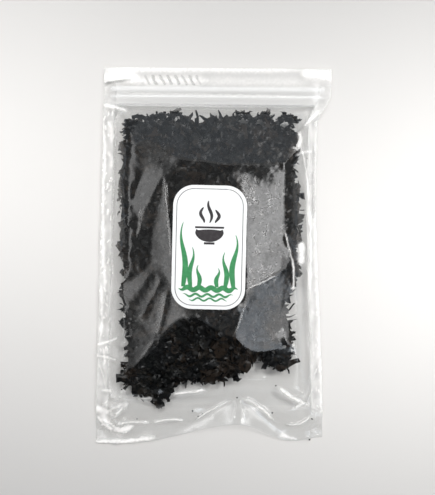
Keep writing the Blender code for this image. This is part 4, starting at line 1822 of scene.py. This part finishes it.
@dataclass
class FrontSticker:
    """The rounded paper sticker, printed with sea grass in waves and a steaming bowl."""

    form: FilmForm
    radius: float = 14.0 * MM
    lift: float = 0.12 * MM
    thickness: float = 0.12 * MM
    ink_lift: float = 0.05 * MM
    frame_inset: float = 2.3 * MM
    frame_width: float = 0.45 * MM
    cut: float = 2.0 * MM

    def __post_init__(self) -> None:
        """Takes the sticker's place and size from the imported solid."""
        self.low, self.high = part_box("sticker")
        self.centre = (self.low + self.high) / 2.0
        self.x0, self.y0 = self.centre.x / MM, self.centre.y / MM

    def rounded_sheet(self, bm: BMesh, inset: float) -> list[BMFace]:
        """A flat rounded rectangle, this far inside the sticker's edge.

        Args:
            bm: The empty mesh it is made in.
            inset: Distance inside the edge.

        Returns:
            Its one face, in a list.
        """
        made = bmesh.ops.create_grid(bm, x_segments=1, y_segments=1, size=1.0)
        half = (self.high - self.low) / 2.0
        bmesh.ops.scale(bm, verts=made["verts"], vec=(half.x - inset, half.y - inset, 1.0))
        bmesh.ops.translate(bm, verts=made["verts"], vec=(self.centre.x, self.centre.y, 0.0))
        bmesh.ops.bevel(
            bm,
            geom=made["verts"],
            offset=self.radius - inset,
            segments=12,
            profile=0.5,
            affect="VERTICES",
            material=-1,
        )
        return bm.faces[:]

    def sliced(self, bm: BMesh) -> None:
        """Cuts a flat outline into small cells, so that it can follow the film.

        Args:
            bm: The flat outline.
        """
        for axis, low, high in ((0, self.low.x, self.high.x), (1, self.low.y, self.high.y)):
            normal = (1.0, 0.0, 0.0) if axis == 0 else (0.0, 1.0, 0.0)
            for number in range(1, int((high - low) / self.cut)):
                point = [0.0, 0.0, 0.0]
                point[axis] = low + number * self.cut
                geometry = bm.verts[:] + bm.edges[:] + bm.faces[:]
                bmesh.ops.bisect_plane(bm, geom=geometry, dist=1e-7, plane_co=point, plane_no=normal)

    def draped(self, name: str, bm: BMesh, finish: Material, lift: float, thickness: float) -> Object:
        """Lays a flat mesh on the film, gives it thickness and makes a piece of it.

        Args:
            name: The piece's name.
            bm: The flat mesh.
            finish: Its material.
            lift: Height of its top above the film.
            thickness: Its own thickness.

        Returns:
            The new piece.
        """
        bmesh.ops.triangulate(bm, faces=[face for face in bm.faces if len(face.verts) > 4])
        places = np.array([vert.co for vert in bm.verts])
        heights = self.form.front_at(places[:, 0], places[:, 1])
        for vert, height in zip(bm.verts, heights):
            vert.co.z = float(height) + lift
        bmesh.ops.recalc_face_normals(bm, faces=bm.faces)
        bmesh.ops.reverse_faces(bm, faces=[face for face in bm.faces if face.normal.z < 0.0])
        bmesh.ops.solidify(bm, geom=bm.faces[:], thickness=thickness)
        bmesh.ops.recalc_face_normals(bm, faces=bm.faces)
        piece = place_object(name, bm, finish)
        piece.data.set_sharp_from_angle(angle=math.radians(50.0))
        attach(piece, "root")
        return piece

    def build_paper(self) -> Object:
        """The sheet of paper.

        Returns:
            The new piece.
        """
        bm = bmesh.new()
        self.rounded_sheet(bm, 0.0)
        self.sliced(bm)
        finish = CoatedPaper("coated_paper").material()
        paper = self.draped("sticker_paper", bm, finish, self.lift + self.thickness, self.thickness)
        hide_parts("sticker")
        return paper

    def printed(self, name: str, bm: BMesh, finish: Material) -> Object:
        """Lays a flat printed shape on the paper as a piece of its own.

        Args:
            name: The piece's name.
            bm: The flat shape.
            finish: Its ink.

        Returns:
            The new piece.
        """
        lift = self.lift + self.thickness + self.ink_lift
        piece = self.draped(name, bm, finish, lift, self.ink_lift * 0.5)
        return piece

    def build_frame_line(self) -> Object:
        """The thin grey line inside the sticker's edge.

        Returns:
            The new piece.
        """
        bm = bmesh.new()
        sheet = self.rounded_sheet(bm, self.frame_inset)
        bmesh.ops.inset_region(
            bm, faces=sheet, use_boundary=True, thickness=self.frame_width, use_even_offset=True
        )
        inner = max(bm.faces, key=lambda item: item.calc_area())
        bmesh.ops.delete(bm, geom=[inner], context="FACES")
        self.sliced(bm)
        grey = PrintedInk("grey_ink", (0.050, 0.053, 0.053)).material()
        return self.printed("printed_frame_line", bm, grey)

    def ribbon(
        self,
        bm: BMesh,
        centre: Callable[[float], Point],
        half_width: Callable[[float], float],
        steps: int,
    ) -> None:
        """Adds a flat ribbon that follows a curve.

        Args:
            bm: The mesh it is added to.
            centre: The curve, in mm from the sticker's middle, for a share from 0 to 1.
            half_width: Half the ribbon's width there, in mm.
            steps: Cells along it.
        """
        made = bmesh.ops.create_grid(bm, x_segments=steps, y_segments=1, size=1.0)
        small = 0.01
        for vert in made["verts"]:
            share = (vert.co.x + 1.0) / 2.0
            before, after = centre(max(share - small, 0.0)), centre(min(share + small, 1.0))
            run = Vector((after[0] - before[0], after[1] - before[1])).normalized()
            x, y = centre(share)
            half = half_width(share) * vert.co.y
            vert.co = Vector((self.x0 + x - run.y * half, self.y0 + y + run.x * half, 0.0)) * MM

    def blades(self, bm: BMesh) -> None:
        """Smooth sea grass blades that rise from the waves, the tall ones at the two sides.

        Args:
            bm: The mesh they are added to.
        """
        stems = (
            (-17.0, 44.0, 3.6, 2.0), (-12.0, 27.0, 3.2, -1.6), (-6.5, 15.0, 2.8, 1.2),
            (6.0, 13.0, 2.8, -1.2), (11.5, 24.0, 3.2, 1.6), (17.0, 36.0, 3.6, -2.0),
        )
        for root, height, width, sway in stems:

            def centre(share: float) -> Point:
                """The blade's middle line."""
                return root + sway * math.sin(share * 6.0) * (0.3 + share), -27.0 + height * share

            def half_width(share: float) -> float:
                """Broad low down and pointed at the tip."""
                swell = 0.7 + 0.6 * math.sin(math.pi * min(share * 1.2, 1.0))
                return width * 0.5 * swell * math.sqrt(max(1.0 - share, 0.0)) + 0.04

            self.ribbon(bm, centre, half_width, 36)

    def waves(self, bm: BMesh) -> None:
        """A broad wave at the foot of the blades and two thinner ones below it.

        Args:
            bm: The mesh they are added to.
        """
        rows = (-28.2, 20.0, 1.7, 0.0), (-32.6, 17.0, 0.75, 2.4), (-35.4, 13.0, 0.6, 0.8)
        for level, reach, half, shift in rows:

            def centre(share: float) -> Point:
                """The wave's middle line."""
                x = (share * 2.0 - 1.0) * reach
                return x, level + 0.9 * math.sin(math.tau * (x + shift) / 8.0)

            def half_width(share: float) -> float:
                """Even, thinning to the two ends."""
                return half * min(1.0, 7.0 * share + 0.1, 7.0 * (1.0 - share) + 0.1)

            self.ribbon(bm, centre, half_width, 90)

    def bowl(self, bm: BMesh) -> None:
        """A bowl on its foot, drawn as if with a broad brush, and its steam.

        Args:
            bm: The mesh they are added to.
        """

        def middle(share: float) -> Point:
            """Half way down the bowl."""
            across = share * 2.0 - 1.0
            return 9.0 * across, 12.0 - 4.2 * math.sqrt(max(1.0 - across * across, 0.0))

        def half_depth(share: float) -> float:
            """A flat rim above a round belly."""
            across = share * 2.0 - 1.0
            return 4.2 * math.sqrt(max(1.0 - across * across, 0.0)) + 0.05

        self.ribbon(bm, middle, half_depth, 40)
        self.ribbon(bm, lambda share: (-3.6 + 7.2 * share, 2.6), lambda share: 0.75, 6)
        self.ribbon(bm, lambda share: (-9.8 + 19.6 * share, 13.4), lambda share: 0.65, 12)
        for x, low, high in ((-5.0, 16.5, 27.0), (0.0, 16.5, 31.5), (5.0, 16.5, 25.5)):

            def wisp(share: float) -> Point:
                """A rising, swaying line of steam."""
                return x + 1.3 * math.sin(share * 5.5 + x), low + (high - low) * share

            self.ribbon(bm, wisp, lambda share: 0.25 + 0.85 * math.sin(math.pi * share) ** 0.7, 24)

    def build(self) -> list[Object]:
        """The paper and everything printed on it.

        Returns:
            The new pieces.
        """
        made = [self.build_paper(), self.build_frame_line()]
        green = PrintedInk("green_ink", (0.032, 0.215, 0.075)).material()
        dark = PrintedInk("dark_ink", (0.022, 0.018, 0.020)).material()
        for name, drawing, ink in (
            ("printed_blades", self.blades, green),
            ("printed_waves", self.waves, green),
            ("printed_bowl", self.bowl, dark),
        ):
            bm = bmesh.new()
            drawing(bm)
            made.append(self.printed(name, bm, ink))
        return made


# ---- crumbs


@dataclass
class LooseCrumbs:
    """The few crumbs that lie between the films in the bottom flap and at the sides, in mm."""

    form: FilmForm
    places: tuple[Point, ...] = (
        (-12, -110), (-8, -114), (-5, -112), (-72, -113), (-51, -117), (-62, -96), (46, -91),
        (44, -110), (72, -114), (19, -100), (64, 69), (71, -129),
    )
    size: Pair = (1.0, 1.8)
    flatness: float = 0.25

    def build(self, finish: Material) -> Object:
        """All crumbs as one piece.

        Args:
            finish: The flakes' material.

        Returns:
            The new piece.
        """
        draw = np.random.default_rng(55)
        bm = bmesh.new()
        for x, y in self.places:
            made = bmesh.ops.create_icosphere(bm, subdivisions=1, radius=0.5)
            size = draw.uniform(*self.size) * MM
            for vert in made["verts"]:
                vert.co *= size * draw.uniform(0.6, 1.2)
                vert.co.z *= self.flatness
            place = np.array([x * MM]), np.array([y * MM])
            level = float(self.form.front_at(*place)[0] + self.form.back_at(*place)[0]) / 2.0
            bmesh.ops.translate(bm, verts=made["verts"], vec=(x * MM, y * MM, level))
        crumbs = place_object("loose_crumbs", bm, finish)
        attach(crumbs, "root")
        return crumbs


# ---- the studio


@dataclass(frozen=True)
class LightField:
    """A soft-edged bright or dark field of the surroundings, as seen from the table.

    Places are horizontal run over rise: 0 is straight up and 1 is 45 degrees over.
    """

    name: str
    low_x: float
    high_x: float
    low_y: float
    high_y: float
    soft: float
    level: float
    dims: bool = False


# Each field's name, its two ends across, its two ends along, its softness and its level.
FIELDS = (
    LightField("left_room", -0.60, -0.26, -0.36, 0.50, 0.24, 1.25),
    LightField("right_room", 0.16, 0.70, -0.66, 0.44, 0.14, 1.30),
    LightField("window", 0.19, 0.42, -0.17, 0.34, 0.12, 2.00),
    LightField("right_lamp", 0.37, 0.43, -0.16, -0.10, 0.03, 3.00),
    LightField("overhead", -0.17, 0.15, -1.20, 0.20, 0.12, 0.66, dims=True),
    LightField("near_side", -1.60, 1.60, -2.40, -0.55, 0.12, 0.85, dims=True),
)


@dataclass
class Studio:
    """The table, the soft surroundings, the lights and the camera."""

    height: float = 620.0 * MM
    seal_level: float = 6.0 * MM
    frame_rows: float = 495.0
    row_size: float = 0.702 * MM
    roll: float = math.radians(1.4)
    over: Pair = (2.69 * MM, 4.98 * MM)
    room_level: float = 0.55
    outer_level: float = 0.22
    horizon_level: float = 0.75
    pool_cone: float = math.radians(25.0)
    unevenness: float = 0.3
    cloud_size: float = 0.06
    cool_light: Colour = (0.90, 0.97, 1.05)
    pool_softness: float = 0.18
    # name, place, middle on the table and watts of each pool of light, in metres
    pools: tuple[tuple[str, Place, Place, float], ...] = (
        ("pool_left", (-0.22, 0.50, 1.00), (-0.18, 0.06, 0.0), 60.0),
        ("pool_right", (0.50, 0.35, 1.00), (0.20, 0.02, 0.0), 80.0),
    )
    table_half: float = 4.0
    light_paths: int = 24

    def build_camera(self) -> None:
        """A camera straight above the pouch, at the photograph's distance and roll."""
        data = bpy.data.cameras.new("camera")
        reach = self.frame_rows * self.row_size
        data.sensor_width = 36.0
        data.lens = data.sensor_width * (self.height - self.seal_level) / reach
        data.clip_start = 0.01
        camera = bpy.data.objects.new("camera", data)
        camera.location = (*self.over, self.height)
        camera.rotation_euler = (0.0, 0.0, self.roll)
        bpy.context.scene.collection.objects.link(camera)
        bpy.context.scene.camera = camera

    def build_table(self) -> None:
        """A wide pale table top."""
        bm = bmesh.new()
        bmesh.ops.create_grid(bm, x_segments=8, y_segments=8, size=self.table_half)
        table = place_object("table_top", bm, PaleTable().material())

    def build_surroundings(self) -> None:
        """The world: a pale room whose fields the glossy film mirrors."""
        world = bpy.data.worlds.new("room")
        world.use_nodes = True
        bpy.context.scene.world = world
        graph = Graph(world.node_tree)
        way = graph.node("ShaderNodeTexCoord").output("Generated")
        split = graph.node("ShaderNodeSeparateXYZ", {}, {0: way})
        x, y, z = (split.output(axis) for axis in "XYZ")
        rise = graph.math("MAXIMUM", z, 0.02)
        across, along = x / rise, y / rise
        outward = graph.math("SQRT", across * across + along * along)
        level = self.room_level - graph.rise(outward, 0.75, 0.95) * (self.room_level - self.outer_level)
        for item in FIELDS:
            LOG.debug("light field %s", item.name)
            half = item.soft / 2
            inside = graph.rise(across, item.low_x - half, item.low_x + half)
            inside = inside * graph.rise(across, item.high_x + half, item.high_x - half)
            inside = inside * graph.rise(along, item.low_y - half, item.low_y + half)
            inside = inside * graph.rise(along, item.high_y + half, item.high_y - half)
            level = (1.0 - inside * item.level) * level if item.dims else inside * item.level + level
        flat_way = graph.node("ShaderNodeCombineXYZ", {}, {0: across, 1: along})
        cloud = graph.rise(graph.noise(flat_way, self.cloud_size, 1.0), 0.3, 0.7)
        level = level * (cloud * self.unevenness + (1.0 - self.unevenness * 0.5))
        low = graph.rise(z, 0.34, 0.18)
        level = level + (self.horizon_level - level) * low
        cool = graph.rise(-along, 0.24, 0.38) * graph.rise(across, -0.1, 0.1)
        cool = cool + graph.rise(along, 0.46, 0.56)
        colour = graph.blend(cool, (1.0, 1.0, 1.0), self.cool_light)
        shade = graph.node("ShaderNodeBackground", {}, {"Color": colour, "Strength": level})
        graph.node("ShaderNodeOutputWorld", {}, {"Surface": shade})

    @staticmethod
    def aim(light: Object, place: Place, target: Place) -> None:
        """Puts a light at a place, turned to a target, and links it.

        Args:
            light: The light.
            place: Its place.
            target: What it points at.
        """
        light.location = place
        light.rotation_euler = (Vector(target) - Vector(place)).to_track_quat("-Z", "Y").to_euler()
        light.visible_camera = False
        bpy.context.scene.collection.objects.link(light)

    def add_pool(self, name: str, place: Place, target: Place, watts: float) -> None:
        """A soft-edged pool of light on the table, which the film doesn't mirror.

        Args:
            name: The light's name.
            place: Its place, in metres.
            target: The middle of the pool.
            watts: Its strength.
        """
        data = bpy.data.lights.new(name, "SPOT")
        data.energy = watts
        data.spot_size = self.pool_cone
        data.spot_blend = 1.0
        data.shadow_soft_size = self.pool_softness
        light = bpy.data.objects.new(name, data)
        light.visible_glossy = False
        self.aim(light, place, target)

    def build_lights(self) -> None:
        """Two soft pools on the table, at the left and the right of the pouch."""
        for pool in self.pools:
            self.add_pool(*pool)

    def build(self) -> None:
        """Everything round the pouch."""
        self.build_camera()
        self.build_table()
        self.build_surroundings()
        self.build_lights()
        view = bpy.context.scene.view_settings
        view.view_transform = "Standard"
        bpy.context.scene.cycles.transparent_max_bounces = self.light_paths


# ---- all of it


def main() -> None:
    """Builds the sub-assemblies in order and reports each piece."""
    logging.basicConfig(level=logging.INFO, format="%(name)s: %(message)s")
    studio = Studio()
    studio.build()
    form = FilmForm()
    LOG.info("film heights up to %.1f mm", form.front.max() / MM)
    pouch = PouchFilm(form)
    heap = FlakeHeap(form)
    pieces = [pouch.build_film(), *pouch.build_zip(), *heap.build()]
    pieces += FrontSticker(form).build()
    pieces.append(LooseCrumbs(form).build(bpy.data.materials["dried_wakame"]))
    for piece in pieces:
        LOG.info("%s: %d faces", piece.name, len(piece.data.polygons))


if __name__ == "__main__":
    main()
